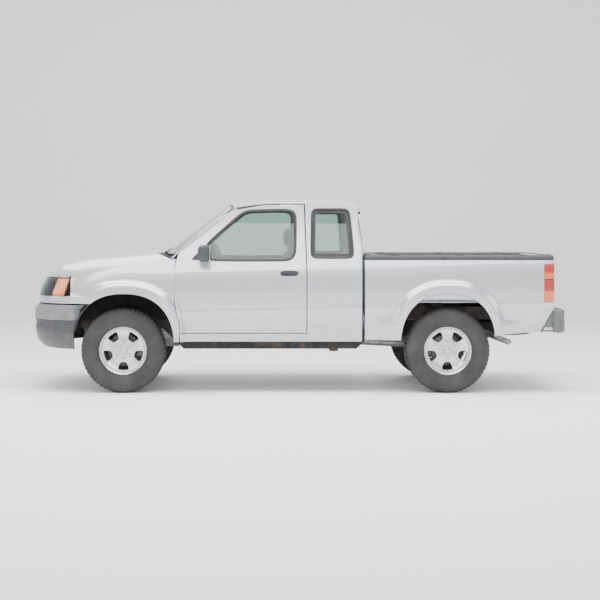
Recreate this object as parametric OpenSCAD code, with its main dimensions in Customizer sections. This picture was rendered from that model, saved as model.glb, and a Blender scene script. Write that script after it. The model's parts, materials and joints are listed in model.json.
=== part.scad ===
// Extended-cab four-wheel-drive pickup truck, in millimetres.
// It is drawn nose towards -X, with stations measured rearwards from the front axle and the driver's
// side at -Y, then turned to face +X, with its origin on the ground under the middle of its length.

/* [Wheels] */
// Radius of the tyres
tyre_radius = 384; // [340:1:420]
// Section width of the tyres
tyre_width = 262; // [205:1:285]
// Bead seat radius of the rims
rim_radius = 203; // [178:1:229]
// Distance between the wheel centres of one axle
track = 1450; // [1380:5:1500]
// Radius of the circle of wheel bolts
bolt_circle_r = 69.85; // [57.15:0.05:85]

/* [Body lengths] */
// Front bumper to front axle
front_overhang = 885; // [800:5:1000]
// Front axle to the foremost point of the door
axle_to_door = 467; // [440:1:600]
// Length of the door
door_length = 1200; // [1000:5:1450]
// Rear edge of the door to the back of the cab
quarter_length = 505; // [420:5:900]
// Gap between cab and bed
cab_bed_gap = 26; // [15:1:60]
// Front of the bed to the rear axle
bed_to_axle = 752; // [700:5:1200]
// Rear axle to the rear end of the bed
axle_to_tail = 962; // [800:5:1300]
// Depth of the rear bumper behind the bed
step_depth = 133; // [90:1:220]

/* [Body widths and heights] */
// Half width of the body at its waist
half_width = 845; // [800:5:950]
// How far the wheel arches stand out
flare_depth = 56; // [20:1:80]
// Underside of the sills
sill_z = 465; // [430:5:500]
// Top of the bed's sides
rail_z = 1250; // [1200:5:1400]
// Top of the doors
door_top_z = 1711; // [1680:1:1800]
// Crown of the roof over the door tops
roof_crown = 47; // [30:1:90]
// Height of the bed's floor
bed_floor_z = 835; // [800:5:900]

/* [Walls and gaps] */
// Thickness of a door below the glass
door_thickness = 92; // [70:1:120]
// Thickness of a door's window frame
frame_thickness = 42; // [30:1:55]
// Gap around doors, hood and tailgate
panel_gap = 7; // [6:0.5:10]
// Clearance where pieces are seated on each other
seat_gap = 0.3; // [0.2:0.1:0.6]
// Thickness of the glass
glass_t = 5; // [4:0.5:8]
// Thickness of fenders, hood and other outer panels
panel_t = 22; // [16:1:30]

/* [Hidden] */
$fn = 32;

paint = [0.86, 0.87, 0.89];
plastic = [0.24, 0.25, 0.26];
black = [0.07, 0.07, 0.08];
steel = [0.20, 0.20, 0.21];
alloy = [0.72, 0.73, 0.74];
glass = [0.62, 0.68, 0.66];

// Stations, measured rearwards from the front axle
door_rear = axle_to_door + door_length;
cab_rear = door_rear + quarter_length;
bed_front = cab_rear + cab_bed_gap;
wheelbase = bed_front + bed_to_axle;
bed_rear = wheelbase + axle_to_tail;
body_rear = bed_rear + step_depth;
overall_length = front_overhang + body_rear;
middle_s = overall_length / 2 - front_overhang;

// Heights of the body's lines at mid wheelbase; the lines rise rearwards by the wedge
hub_z = tyre_radius;
door_bottom_z = sill_z + 80;
crease_z = 752;
waist_z = 978;
belt_z = 1141;
glass_base_z = 1205;
wedge_slope = 0.026;

// Side section of the body
sill_tuck = 45;
belt_tuck = 12;
lean = 0.235;
lean_curve = 0.00008;

// Wheel arches: superellipses round a point above each hub
arch_rise = 50;
arch_power = 2.3;
front_arch = [454, 469];
rear_arch = [428, 472];
front_arch_s = 10;
flare_reach = 0.155;
flare_fade = 0.1;

// Nose: a superellipse in plan, whose face leans back with height
nose_start = -100;
nose_power = 3.2;
bumper_top_z = 797;
bumper_mid_z = 657;
bumper_low_z = 392;
split_z = 804;
lamp_low_z = 876;
lamp_top_z = 1040;
nose_edge_z = 1050;
fender_front_s = -480;

// Windshield, at its middle and its sides
screen_base_s = 350;
screen_base_z = 1262;
screen_rake = 0.754;
screen_bow = 103;
screen_top_bow = 38;
screen_half = 752;
screen_top_half = 648;

// Bed walls
bed_wall = 85;
bed_skin = 12;
gate_thickness = 50;
bed_inner_y = half_width - bed_wall;
gate_half = bed_inner_y - 62;
headboard_s = bed_front + 92;
cap_h = 34;

// Frame rails: outer face clear of the steered tyres
rail_outer_y = 384;
rail_w = 66;
rail_h = 118;
rail_low_z = 366;

// Running gear
kingpin_y = track / 2 - 75;
rim_half = 95;
axle_tube_r = 42;
prop_z = 470;
spring_y = rail_outer_y + 62;

function lerp(a, b, t) = a + (b - a) * t;
function steps(n) = [for (i = [0 : n]) i / n];
function wedge(s) = wedge_slope * (s - wheelbase / 2);

// Half width of the body at station s and height z
function section_y(z) =
    z < waist_z ? half_width - sill_tuck * pow((waist_z - z) / (waist_z - sill_z), 2)
    : z < belt_z ? half_width - belt_tuck * pow((z - waist_z) / (belt_z - waist_z), 2)
    : half_width - belt_tuck - lean * (z - belt_z) - lean_curve * pow(z - belt_z, 2);
function nose_plan(s) = s > nose_start ? 1
    : pow(max(0, 1 - pow((nose_start - s) / (front_overhang + nose_start), nose_power)), 1 / nose_power);
function arch_ratio(s, z, at, size) =
    pow(pow(abs(s - at) / size[0], arch_power)
        + pow(max(0, z - hub_z - arch_rise) / size[1], arch_power), 1 / arch_power);
function flare_of(r) = r < 1 + flare_reach ? 1 : max(0, 1 - (r - 1 - flare_reach) / flare_fade);
function flare_y(s, z) = flare_depth * max(
    flare_of(arch_ratio(s, z, front_arch_s, front_arch)), flare_of(arch_ratio(s, z, wheelbase, rear_arch)));
function side_y(s, z) = section_y(z - wedge(s)) * nose_plan(s - face_lean(z)) + flare_y(s, z);
function arch_z(s, at, size) = abs(s - at) >= size[0] ? 0
    : hub_z + arch_rise + size[1] * pow(1 - pow(abs(s - at) / size[0], arch_power), 1 / arch_power);

// Lines of the body side
function shoulder_z(s) = 1162 + 0.1144 * (s - 5);
function door_front_low(z) = axle_to_door
    + (z > 1080 ? 38 * pow((z - 1080) / 190, 2) : z < 889 ? 102 * pow((889 - z) / 364, 1.8) : 0);
function pillar_s(z) = axle_to_door + 49 + (z - 1281) / 0.787 + 240 * pow(max(0, (z - 1600) / 111), 3);
function door_front_s(z) = z < 1281 ? min(door_front_low(z), axle_to_door + 49) : pillar_s(z);
function door_rear_s(z) = door_rear - 20 * max(0, (z - belt_z) / (door_top_z - belt_z));
function face_lean(z) = let (d = min(z, 1160) - split_z) d < 0 ? 0 : 36 + 0.138 * d + 0.00000383 * pow(d, 3);
function nose_point(phi, z, t, push) = let (w = section_y(z) - t)
    [nose_start - (front_overhang + nose_start) * pow(abs(cos(phi)), 2 / nose_power) + face_lean(z) + push + t,
        sign(phi) * w * pow(abs(sin(phi)), 2 / nose_power), z];
function quarter_rear_s(z) = cab_rear - 0.13 * max(0, z - glass_base_z - 77);
function cab_back_s(y, z, half) = quarter_rear_s(z)
    + (53 - 0.06 * max(0, z - glass_base_z - 77)) * (1 - pow(abs(y) / half, 4));

// Roof and hood
roof_t = 15;
roof_seat = 9;
roof_drop_s = 1350;
roof_roll_s = 2000;
function roof_fall(s) = 43 * pow(max(0, (roof_drop_s - s) / 375), 1.5) + 60 * pow(max(0, (s - roof_roll_s) / 170), 3);
function roof_under(s) = door_top_z + roof_seat - roof_fall(s);
function roof_top(s, u) = roof_under(s) + roof_t + (roof_crown - roof_t) * (1 - pow(abs(u), 2.6));
function screen_at(u, v, push) = [
    lerp(screen_base_s, screen_base_s + (door_top_z + 11 - screen_base_z) / screen_rake, v)
        + lerp(screen_bow, screen_top_bow, v) * u * u + push,
    u * lerp(screen_half, screen_top_half, v),
    lerp(screen_base_z, door_top_z + 11, v) - lerp(6, 38, v) * u * u];
function hood_line_z(s) = 1265 - 0.094 * (244 - s);
function nose_fall(d) = let (t = max(0, 1 - d / 357)) 0.47 * pow(t, 1.4) + 0.53 * pow(t, 8);
function hood_side_y(s) = side_y(s, edge_z(s)) - panel_t - panel_gap - 2;
function edge_z(s) = shoulder_z(s) - (shoulder_z(fender_front_s) - nose_edge_z) * nose_fall(s - fender_front_s);
function hood_front_s(u) = let (p = nose_point(asin(pow(abs(u) * hood_side_y(fender_front_s) / half_width,
    nose_power / 2)), nose_edge_z, 0, 0)) p[0];
function hood_rear_s(u) = 250 + 190 * u * u;
function hood_point(u, v) = let (front = hood_front_s(u), s = lerp(front, hood_rear_s(u), v),
    flat_z = lerp(hood_line_z(s), shoulder_z(s), pow(abs(u), 2.4)),
    flat_front = lerp(hood_line_z(front), shoulder_z(front), pow(abs(u), 2.4)))
    [s, u * lerp(hood_side_y(fender_front_s), hood_side_y(300), min(1, v * 1.6)),
        flat_z - (flat_front - nose_edge_z) * nose_fall(s - front)];

// Turns the drawn truck to its own frame
module placed() { rotate([0, 0, 180]) translate([-middle_s, 0, 0]) children(); }
module both() { children(); mirror([0, 1, 0]) children(); }
module on_side(right) { if (right) mirror([0, 1, 0]) children(); else children(); }

// A plate between two grids of points: the outer one has its rows from the bottom up, each from left to right
module shell(face, back) {
    cols = len(face[0]);
    rows = len(face);
    n = rows * cols;
    quads = concat(
        [for (r = [0 : rows - 2], c = [0 : cols - 2])
            [r * cols + c, r * cols + c + 1, (r + 1) * cols + c + 1, (r + 1) * cols + c]],
        [for (r = [0 : rows - 2], c = [0 : cols - 2])
            [n + r * cols + c, n + (r + 1) * cols + c, n + (r + 1) * cols + c + 1, n + r * cols + c + 1]],
        [for (c = [0 : cols - 2]) [c, n + c, n + c + 1, c + 1]],
        [for (c = [0 : cols - 2]) let (e = n - cols + c) [e, e + 1, n + e + 1, n + e]],
        [for (r = [0 : rows - 2]) let (e = r * cols) [e, e + cols, n + e + cols, n + e]],
        [for (r = [0 : rows - 2]) let (e = r * cols + cols - 1) [e, n + e, n + e + cols, e + cols]]);
    polyhedron([for (g = [face, back], row = g, p = row) p],
        [for (q = quads, t = [0, 1]) t == 0 ? [q[0], q[2], q[1]] : [q[0], q[3], q[2]]]);
}
// A driver's side panel: rows of [s, z] from the bottom up, with its thickness
module side_panel(rows, t) {
    shell([for (row = rows) [for (p = row) [p[0], -side_y(p[0], p[1]), p[1]]]],
        [for (row = rows) [for (p = row) [p[0], t - side_y(p[0], p[1]), p[1]]]]);
}
function column_rows(stations, low, high, n) =
    [for (j = steps(n)) [for (s = stations) [s, lerp(low(s), high(s), j)]]];

// A box from one corner to the other
module span(a, b) { translate(a) cube(b - a); }
// A prism across the truck, from an outline of [s, z] points
module across(outline, from_y, to_y) {
    translate([0, to_y, 0]) rotate([90, 0, 0]) linear_extrude(to_y - from_y) polygon(outline);
}
module cylinder_y(r, from_y, to_y) {
    translate([0, from_y, 0]) rotate([-90, 0, 0]) cylinder(r = r, h = to_y - from_y);
}
module cylinder_x(r, from_s, to_s) { translate([from_s, 0, 0]) rotate([0, 90, 0]) cylinder(r = r, h = to_s - from_s); }

// ---- Running gear ----
rail_kick_z = 560;
rail_arch_z = 640;
rail_front_s = -690;
cross_s = -330;
rail_rear_s = bed_rear - 20;
function rail_line() = [
    [rail_front_s, rail_kick_z], [330, rail_kick_z], [530, rail_low_z], [2150, rail_low_z],
    [2440, rail_arch_z], [rail_rear_s, rail_arch_z]];
module frame_rails() color(black) placed() {
    profile = concat(rail_line(), [for (i = [len(rail_line()) - 1 : -1 : 0]) rail_line()[i] + [0, rail_h]]);
    both() across(profile, -rail_outer_y, -rail_outer_y + rail_w);
    y = rail_outer_y - rail_w;
    span([-640, -y, rail_kick_z + 20], [-560, y, rail_kick_z + 100]);
    span([cross_s, -y, engine_low_z - 70], [cross_s + 100, y, engine_low_z - seat_gap]);
    both() span([cross_s, -y - 1, engine_low_z - 70], [cross_s + 100, -y + 30, rail_kick_z + 60]);
    span([930, -y, rail_low_z + 4], [1030, y, gearbox_low_z - seat_gap]);
    span([1900, -y - 30, rail_low_z - 26], [1980, y + 30, rail_low_z + 12]);
    span([wheelbase - 40, -y, rail_arch_z + 55], [wheelbase + 40, y, rail_arch_z + 100]);
    span([spare_s - 35, -y, rail_arch_z + 20], [spare_s + 35, y, rail_arch_z + 80]);
    span([bed_rear - 90, -y, rail_arch_z + 10], [bed_rear - 30, y, rail_arch_z + 80]);
}
engine_low_z = 520;
gearbox_low_z = 420;
engine_s = [-420, 290];
module engine() color(steel) placed() span([engine_s[0], -250, engine_low_z], [engine_s[1], 250, 1060]);
module gearbox() color(alloy) placed() {
    translate([0, 0, prop_z + 60]) cylinder_x(170, engine_s[1] + seat_gap, 470);
    span([450, -110, gearbox_low_z], [1010, 110, 552]);
    span([760, 60, gearbox_low_z + 10], [990, 240, 550]);
}
front_prop_y = 190;
diff_s = 60;
module drive_shafts() color(steel) placed() {
    tilt_room = 2;
    both_ends = [1010 + seat_gap + tilt_room, wheelbase - 175 - seat_gap - tilt_room];
    rise = hub_z - prop_z;
    run = both_ends[1] - both_ends[0];
    translate([both_ends[0], 0, prop_z]) rotate([0, 90 - atan(rise / run), 0]) cylinder(r = 38, h = run);
    translate([0, front_prop_y, 450]) cylinder_x(26, diff_s + 120 + seat_gap, 760 - seat_gap);
}
module rear_axle() color(black) placed() translate([wheelbase, 0, hub_z]) {
    cylinder_y(axle_tube_r, -track / 2 + 78, track / 2 - 78);
    rotate([0, 90, 0]) cylinder(r = 130, h = 150, center = true);
    cylinder_x(60, -175, -60);
    both() {
        translate([0, -track / 2 + 78, 0]) cylinder_y(110, 0, 14);
        cylinder_y(spindle_r, -track / 2 + 30, -track / 2 + 79);
    }
}
spring_half = 620;
spring_low_z = hub_z + 54;
spring_high_z = 520;
module leaf_springs() color(black) placed() both() {
    curve = [for (t = steps(10)) [wheelbase + (t * 2 - 1) * spring_half,
        spring_low_z + (spring_high_z - spring_low_z) * pow(t * 2 - 1, 2)]];
    across(concat(curve, [for (i = [10 : -1 : 0]) curve[i] + [0, 24]]), -spring_y - 32, -spring_y + 32);
    span([wheelbase - 60, -spring_y - 30, hub_z + axle_tube_r + seat_gap],
        [wheelbase + 60, -spring_y + 30, spring_low_z + 10]);
    for (end = [-1, 1]) let (s = wheelbase + end * (spring_half - 10))
        span([s - 30, -spring_y - 26, spring_high_z + 5], [s + 30, -rail_outer_y - seat_gap, rail_arch_z + 50]);
}
arm_s = 150;
arm_low = -142;
arm_high = 122;
arm_t = 22;
joint_gap = 0.5;
module front_suspension() color(black) placed() {
    both() {
        for (arm = [[arm_low, 60], [arm_high, 18]]) hull() {
            translate([0, -kingpin_y, hub_z + arm[0]]) cylinder(r = 24, h = arm_t);
            for (s = [-arm_s, arm_s]) translate([s, -rail_outer_y + 50, hub_z + arm[0] + arm[1]])
                cylinder(r = 22, h = 30);
        }
        translate([0, 0, hub_z]) cylinder_y(17, -kingpin_y + 60, -200);
        translate([70, -rail_outer_y - 30 - joint_gap, hub_z - 100]) cylinder(r = 30, h = 330);
        for (s = [-arm_s - 40, arm_s - 30])
            span([s, -rail_outer_y + 30, 262], [s + 70, -rail_outer_y + 80, rail_kick_z - seat_gap]);
    }
    span([-arm_s - 40, -rail_outer_y + 34, 262], [arm_s + 40, rail_outer_y - 34, 330]);
    translate([diff_s, front_prop_y, 410]) cylinder_x(95, -90, 120);
    span([-60, -205, hub_z - 50], [100, 260, hub_z + 50]);
    span([-60, -120, 300], [60, 120, hub_z]);
}
pipe_y = -225;
pipe_r = 27;
function pipe_route() = [[2230, pipe_y, 480], [2480, pipe_y, 655], [3080, pipe_y, 655], [3160, pipe_y, 548],
    [3300, -520, 545], [3400, -640, 500], [3520, -700, 455]];
module exhaust() color(steel) placed() {
    translate([0, pipe_y, 455]) cylinder_x(pipe_r, 500, 1150);
    translate([0, pipe_y, 470]) cylinder_x(80, 1140, 1750);
    translate([0, pipe_y, 480]) cylinder_x(pipe_r, 1740, 2235);
    span([1300, -rail_outer_y + rail_w + seat_gap, 440], [1330, pipe_y, 470]);
    for (i = [0 : len(pipe_route()) - 2]) hull() for (j = [i, i + 1])
        translate(pipe_route()[j]) sphere(r = pipe_r, $fn = 16);
}
module fuel_tank() color(black) placed()
    span([1420, rail_outer_y - rail_w - 200, 380], [1880, rail_outer_y - rail_w - seat_gap, 540]);
spare_s = wheelbase + 560;
spare_r = 368;
module spare_wheel() color(black) placed() translate([spare_s, 0, 0]) {
    difference() {
        translate([0, 0, 487]) cylinder(r = spare_r, h = 147);
        translate([0, 0, 480]) cylinder(r = 190, h = 110);
    }
    translate([0, 0, 630]) cylinder(r = 20, h = rail_arch_z + 20 - seat_gap - 630);
}

// ---- Wheels ----
spindle_r = 24;
disc_face = -62;
disc_back = -40;
hub_face = -72;
hub_back = 46;
hub_r = 80;
brake_r = 148;
window_low_r = 111;
window_high_r = 172;
module tyre_shape() {
    r = tyre_radius;
    w = tyre_width / 2;
    b = rim_radius;
    half = [[b, rim_half - 12], [b + 20, rim_half - 12], [b + 34, w - 16], [b + 75, w - 1], [r - 80, w],
        [r - 34, w - 8], [r - 12, w - 26], [r - 2, w - 52]];
    rotate([90, 0, 0]) rotate_extrude($fn = 96)
        polygon(concat(half, [[r, 20], [r, -20]], [for (i = [len(half) - 1 : -1 : 0]) [half[i][0], -half[i][1]]]));
}
module rim_shape(brake_s) {
    b = rim_radius - seat_gap;
    rotate([90, 0, 0]) rotate_extrude($fn = 96)
        polygon([[b - 12, -rim_half], [b + 16, -rim_half], [b + 16, -rim_half + 8], [b, -rim_half + 11],
            [b, rim_half - 11], [b + 16, rim_half - 8], [b + 16, rim_half], [b - 12, rim_half]]);
    difference() {
        union() {
            cylinder_y(rim_radius - 8, disc_face, disc_back);
            cylinder_y(hub_r, hub_face, hub_back);
            cylinder_y(brake_r, brake_s[0], brake_s[1]);
        }
        cylinder_y(spindle_r + joint_gap, -30, 200);
        for (i = [0 : 5]) rotate([0, 60 * i, 0]) translate([0, 0, bolt_circle_r]) cylinder_y(8, -100, -30);
        for (i = [0 : 4]) rotate([0, 72 * i, 0])
            across([[-28, -window_low_r], [28, -window_low_r], [54, -window_high_r], [-54, -window_high_r]],
                disc_face - 1, disc_back + 1);
    }
}
module wheel_at(s, right) { placed() translate([s, 0, hub_z]) on_side(right) translate([0, -track / 2, 0]) children(); }
module knuckle(right) {
    color(steel) placed() on_side(right) {
        translate([0, 0, hub_z]) {
            cylinder_y(spindle_r, -track / 2 - 20, -kingpin_y);
            cylinder_y(54, -track / 2 + hub_back + 6, -kingpin_y + 20);
        }
        low_z = hub_z + arm_low + arm_t + 9.5 + joint_gap;
        translate([0, -kingpin_y, low_z]) cylinder(r = 22, h = hub_z + arm_high - joint_gap - low_z);
    }
}

// ---- Front end ----
function phis(a, b, n) = [for (t = steps(n)) lerp(a, b, t)];
// A band round the nose: [z, push back] rows between two angles
module nose_band(from, to, n, rows, t) {
    shell([for (row = rows) [for (phi = phis(to, from, n)) nose_point(phi, row[0], 0, row[1])]],
        [for (row = rows) [for (phi = phis(to, from, n)) nose_point(phi, row[0], t, row[1])]]);
}
bumper_phi = 74;
// The room the front wheels turn in, with the liners round it
module wheel_room() {
    line = arch_line(front_arch_s, front_arch + [liner_room, liner_room], 560, 560, 16);
    across(concat([line[0] - [6, 360]], line, [line[16] + [6, -360]]), -900, 900);
}
lamp_phi = [17.5, 66];
module front_bumper() color([0.45, 0.46, 0.47]) placed() {
    difference() {
        nose_band(-bumper_phi, bumper_phi, 20,
            [[bumper_mid_z, 4], [bumper_mid_z + 20, 0], [bumper_top_z - 46, 0], [bumper_top_z, 40]], 60);
        wheel_room();
    }
    both() span([-840, -rail_outer_y + 10, rail_kick_z + rail_h + seat_gap], [rail_front_s + 90, -rail_outer_y + 56, 720]);
}
module bumper_lower() color(plastic) placed() difference() {
    nose_band(-bumper_phi - 2, bumper_phi + 2, 20, [[bumper_low_z, 120], [bumper_low_z + 18, 75],
        [bumper_low_z + 73, 25], [bumper_low_z + 170, 4], [bumper_mid_z - seat_gap, 4]], 40);
    wheel_room();
}
module nose_panel() color(paint) placed() {
    difference() {
        nose_band(-70, 70, 20, [[split_z + panel_gap, 0], [lamp_low_z, 0]], panel_t);
        both() span([fender_front_s - seat_gap, -900, 0], [0, 0, 2000]);
    }
}
module grille() color(black) placed()
    nose_band(-lamp_phi[0] + 0.7, lamp_phi[0] - 0.7, 6, [[lamp_low_z + seat_gap, 0], [960, 0], [lamp_top_z, 0]], 40);
module headlights() color([0.85, 0.86, 0.86]) placed() both() difference() {
    nose_band(-lamp_phi[1], -lamp_phi[0], 8, [[lamp_low_z + seat_gap, 0], [960, 0], [lamp_top_z, 0]], 60);
    span([fender_front_s - panel_gap, -900, 0], [0, 0, 2000]);
}
function arch_line(at, size, low_front, low_rear, n) = let (
    a0 = asin(pow(max(0, low_front - hub_z - arch_rise) / size[1], arch_power / 2)),
    a1 = asin(pow(max(0, low_rear - hub_z - arch_rise) / size[1], arch_power / 2)))
    [for (a = phis(a0, 180 - a1, n)) [
        at - sign(cos(a)) * size[0] * pow(abs(cos(a)), 2 / arch_power),
        hub_z + arch_rise + size[1] * pow(abs(sin(a)), 2 / arch_power)]];
fender_rows = [0, 0.12, 0.2, 0.32, 0.42, 0.62, 0.82, 1];
function fender_point(low, along, k) = let (
    s = lerp(fender_front_s, door_front_s(shoulder_z(480)) - panel_gap, along), z = lerp(low[1], edge_z(s), k))
    [along == 1 ? door_front_s(z) - panel_gap : lerp(low[0], s, k), z];
module front_fenders() color(paint) placed() both() {
    arch = arch_line(front_arch_s, front_arch, split_z + panel_gap, sill_z, 14);
    low = concat([[fender_front_s, split_z + panel_gap]], arch, [[door_front_s(sill_z) - panel_gap, sill_z]]);
    n = len(low);
    side_panel([for (k = fender_rows) [for (i = [0 : n - 1]) fender_point(low[i], i / (n - 1), k)]], panel_t);
}
liner_t = 6;
liner_room = 18.6;
liner_y = rail_outer_y + seat_gap;
module inner_fenders() color(black) placed() both() {
    outer = arch_line(front_arch_s, front_arch + [18, 18], 560, 560, 16);
    inner = arch_line(front_arch_s, front_arch + [18 - liner_t, 18 - liner_t], 560, 560, 16);
    across(concat(outer, [for (i = [16 : -1 : 0]) inner[i]]), -780, -liner_y);
    across(arch_line(front_arch_s, front_arch + [18, 18], 640, 640, 16), -liner_y - liner_t, -liner_y);
}
function cowl_point(u, v, drop) = let (a = hood_rear_s(u) + panel_gap + 1, p = screen_at(u, 0, 0))
    [lerp(a, p[0] + 20, v), u * (screen_half - 20), lerp(shoulder_z(a) + (hood_line_z(a) - shoulder_z(a)) * (1 - u * u) - 6,
        p[2] - 8, v) - drop];
module cowl() color(black) placed() {
    us = phis(1, -1, 10);
    shell([for (v = [0, 1]) [for (u = us) cowl_point(u, v, 0)]], [for (v = [0, 1]) [for (u = us) cowl_point(u, v, 24)]]);
    y = side_y(436, 1140) - panel_t - 2.4;
    span([426, -y, 1100], [446, y, 1140]);
    both() span([440, -screen_half + 24, 1130], [470, -screen_half + 60, 1200]);
}

// ---- Cab ----
floor_z = 565;
floor_t = 20;
floor_half = 694;
floor_edge = 689;
post_y = 734;
cowl_post_s = 446 + seat_gap;
quarter_t = 85;
sill_t = 150;
module cab_floor() color(black) placed() {
    span([560, -floor_edge, floor_z], [cab_rear - 50, floor_edge, floor_z + floor_t]);
    span([540, -floor_edge, floor_z], [560, floor_edge, 1212]);
    for (s = [860, 2040]) both() span([s, -rail_outer_y + 4, rail_low_z + rail_h + seat_gap], [s + 80, -rail_outer_y + 60, floor_z + 5]);
}
quarter_window = [[2040 - 300, 1230], [2085 - 20, 1230], [2092, 1258], [2060, 1640], [2030, 1668],
    [1745, 1668], [1722, 1640], [1712, 1258]];
module cab_sides() color(paint) placed() both() {
    sill_s = door_front_s(sill_z) + 2;
    sill_stations = [for (t = steps(6)) lerp(sill_s, door_rear + panel_gap, t)];
    side_panel([for (z = [sill_z, 500, door_bottom_z - panel_gap]) [for (s = sill_stations) [s, z]]], sill_t);
    difference() {
        side_panel([for (j = steps(12)) [for (i = [0 : len(quarter_stations) - 1]) quarter_point(i, j)]], quarter_t);
        across(quarter_window, -900, -500);
    }
    span([500, -post_y, 500], [sill_s + 8, -floor_edge - seat_gap, 1150]);
    span([455, -post_y, 1080], [505, -floor_edge - seat_gap - 10, 1120]);
    span([cowl_post_s, -784, 1080], [461, -floor_edge - seat_gap - 10, 1120]);
    span([cowl_post_s, -784, 1080], [461, -745, 1240]);
    span([sill_s, -floor_half, 500], [door_rear + panel_gap, -floor_half + 30, floor_z - seat_gap]);
    pillar();
}
quarter_stations = [door_rear + panel_gap, 1800, 1950, 2050, 2110, 2142];
function quarter_point(i, j) = let (s0 = quarter_stations[i], z = lerp(sill_z, roof_under(s0) - seat_gap, j))
    [i == 0 ? door_rear_s(z) + panel_gap + 3 * max(0, (z - belt_z) / 570)
        : i == len(quarter_stations) - 1 ? max(s0, quarter_rear_s(z)) : s0, z];
function pillar_row(z) = let (s = pillar_s(max(z, 1281)) - (z < 1281 ? (1281 - z) * 0.9 : 0) - panel_gap * 1.5,
    y = side_y(s, z)) [[s, -y, z], [s - 18, -y + 4, z], [s - 12, -y + 66, z], [s, -y + 60, z]];
module pillar() {
    zs = [1222, 1250, 1290, 1400, 1520, 1630, 1652];
    shell([for (z = zs) [pillar_row(z)[1], pillar_row(z)[0]]], [for (z = zs) [pillar_row(z)[2], pillar_row(z)[3]]]);
}
function back_half(z) = side_y(cab_rear - 60, z) - quarter_t - seat_gap - 2;
module cab_back() color(paint) placed() difference() {
    zs = [floor_z, 800, 1000, 1160, 1282, 1400, 1520, 1640, roof_under(2110) - 24];
    us = phis(-1, 1, 12);
    shell([for (z = zs) [for (u = us) [cab_back_s(u * back_half(z), z, back_half(z)), u * back_half(z), z]]],
        [for (z = zs) [for (u = us) [cab_back_s(u * back_half(z), z, back_half(z)) - 40, u * back_half(z), z]]]);
    translate([2000, 0, 0]) rotate([0, 90, 0]) rotate([0, 0, 90]) linear_extrude(400)
        polygon([[-520, 1290], [520, 1290], [500, 1610], [-500, 1610]]);
}
function roof_s(u, i) = i > 3 ? quarter_stations[i - 4]
    : lerp(screen_at(u, 1, 0)[0] + 12, door_rear + panel_gap, [0, 0.17, 0.42, 0.75][i]);
module roof() color(paint) placed() {
    half = side_y(1600, door_top_z) - 1;
    us = phis(1, -1, 12);
    shell([for (i = [0 : 9]) [for (u = us) let (s = roof_s(u, i)) [s, u * half, roof_top(s, u)]]],
        [for (i = [0 : 9]) [for (u = us) let (s = roof_s(u, i)) [s, u * half, roof_top(s, u) - roof_t]]]);
}
module windshield() color(glass) placed()
    shell([for (v = steps(4)) [for (u = phis(1, -1, 10)) screen_at(u * 0.985, 0.01 + v * 0.98, 0)]],
        [for (v = steps(4)) [for (u = phis(1, -1, 10)) screen_at(u * 0.985, 0.01 + v * 0.98, glass_t * 1.6)]]);
function back_glass_y(z) = lerp(520, 500, (z - 1290) / 320) - seat_gap;
module cab_glass() color(glass) placed() {
    zs = [1290, 1370, 1450, 1530, 1610];
    us = phis(-1, 1, 8);
    shell([for (z = zs) [for (u = us) [cab_back_s(u * back_glass_y(z), z, 690) - 22, u * back_glass_y(z), z + (z == 1290 ? seat_gap : z == 1610 ? -seat_gap : 0)]]],
        [for (z = zs) [for (u = us) [cab_back_s(u * back_glass_y(z), z, 690) - 22 - glass_t, u * back_glass_y(z), z + (z == 1290 ? seat_gap : z == 1610 ? -seat_gap : 0)]]]);
    both() intersection() {
        translate([0, 14, 0]) side_panel([for (z = [1200, 1350, 1500, 1700]) [for (s = [1690, 1900, 2120]) [s, z]]], glass_t);
        across([for (p = quarter_window) p + [p[0] < 1900 ? seat_gap : -seat_gap, p[1] < 1400 ? seat_gap : -seat_gap]], -900, -500);
    }
}
wheel_s = 900;
wheel_y = -370;
wheel_z = 1188;
wheel_tilt = 62;
module at_column() { translate([wheel_s, wheel_y, wheel_z]) rotate([0, wheel_tilt, 0]) children(); }
module dashboard() color(plastic) placed() {
    across([[560 + seat_gap, 860], [560 + seat_gap, 1190], [680, 1215], [800, 1180], [835, 1080], [780, 860]], -floor_half + 8, floor_half - 8);
    at_column() translate([0, 0, -160]) cylinder(r = 36, h = 130 - joint_gap);
}
module steering_wheel() color(plastic) placed() at_column() {
    rotate_extrude($fn = 64) translate([178, 0]) circle(r = 14, $fn = 24);
    translate([0, 0, -30]) cylinder(r = 62, h = 34);
    for (a = [0, 110, 250]) rotate([0, 0, a + 180]) span([40, -16, -12], [172, 16, 0]);
}
seat_half = 245;
module seats() color([0.36, 0.38, 0.37]) placed() for (y = [-370, 370]) {
    across([[1030, floor_z + floor_t + seat_gap], [1420, floor_z + floor_t + seat_gap], [1440, 760], [1430, 870],
        [1200, 868], [1010, 890], [985, 850], [1000, 770]], y - seat_half, y + seat_half);
    across([[1436.4 + seat_gap, 800], [1430 + seat_gap, 870], [1490, 1300], [1560, 1300], [1580, 1240], [1560, 800]],
        y - seat_half, y + seat_half);
    across([[1478, 1300 + seat_gap], [1470, 1400], [1490, 1500], [1540, 1505], [1570, 1440], [1560, 1300 + seat_gap]],
        y - 130, y + 130);
}

// ---- Hood ----
module hood() color(paint) placed() {
    us = phis(1, -1, 14);
    vs = [0, 0.03, 0.07, 0.14, 0.25, 0.4, 0.6, 0.8, 1];
    shell([for (v = vs) [for (u = us) hood_point(u, v)]],
        [for (v = vs) [for (u = us) hood_point(u, v) + (v == 0 ? [4, 0, -4] : [0, 0, -panel_t])]]);
}

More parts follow.
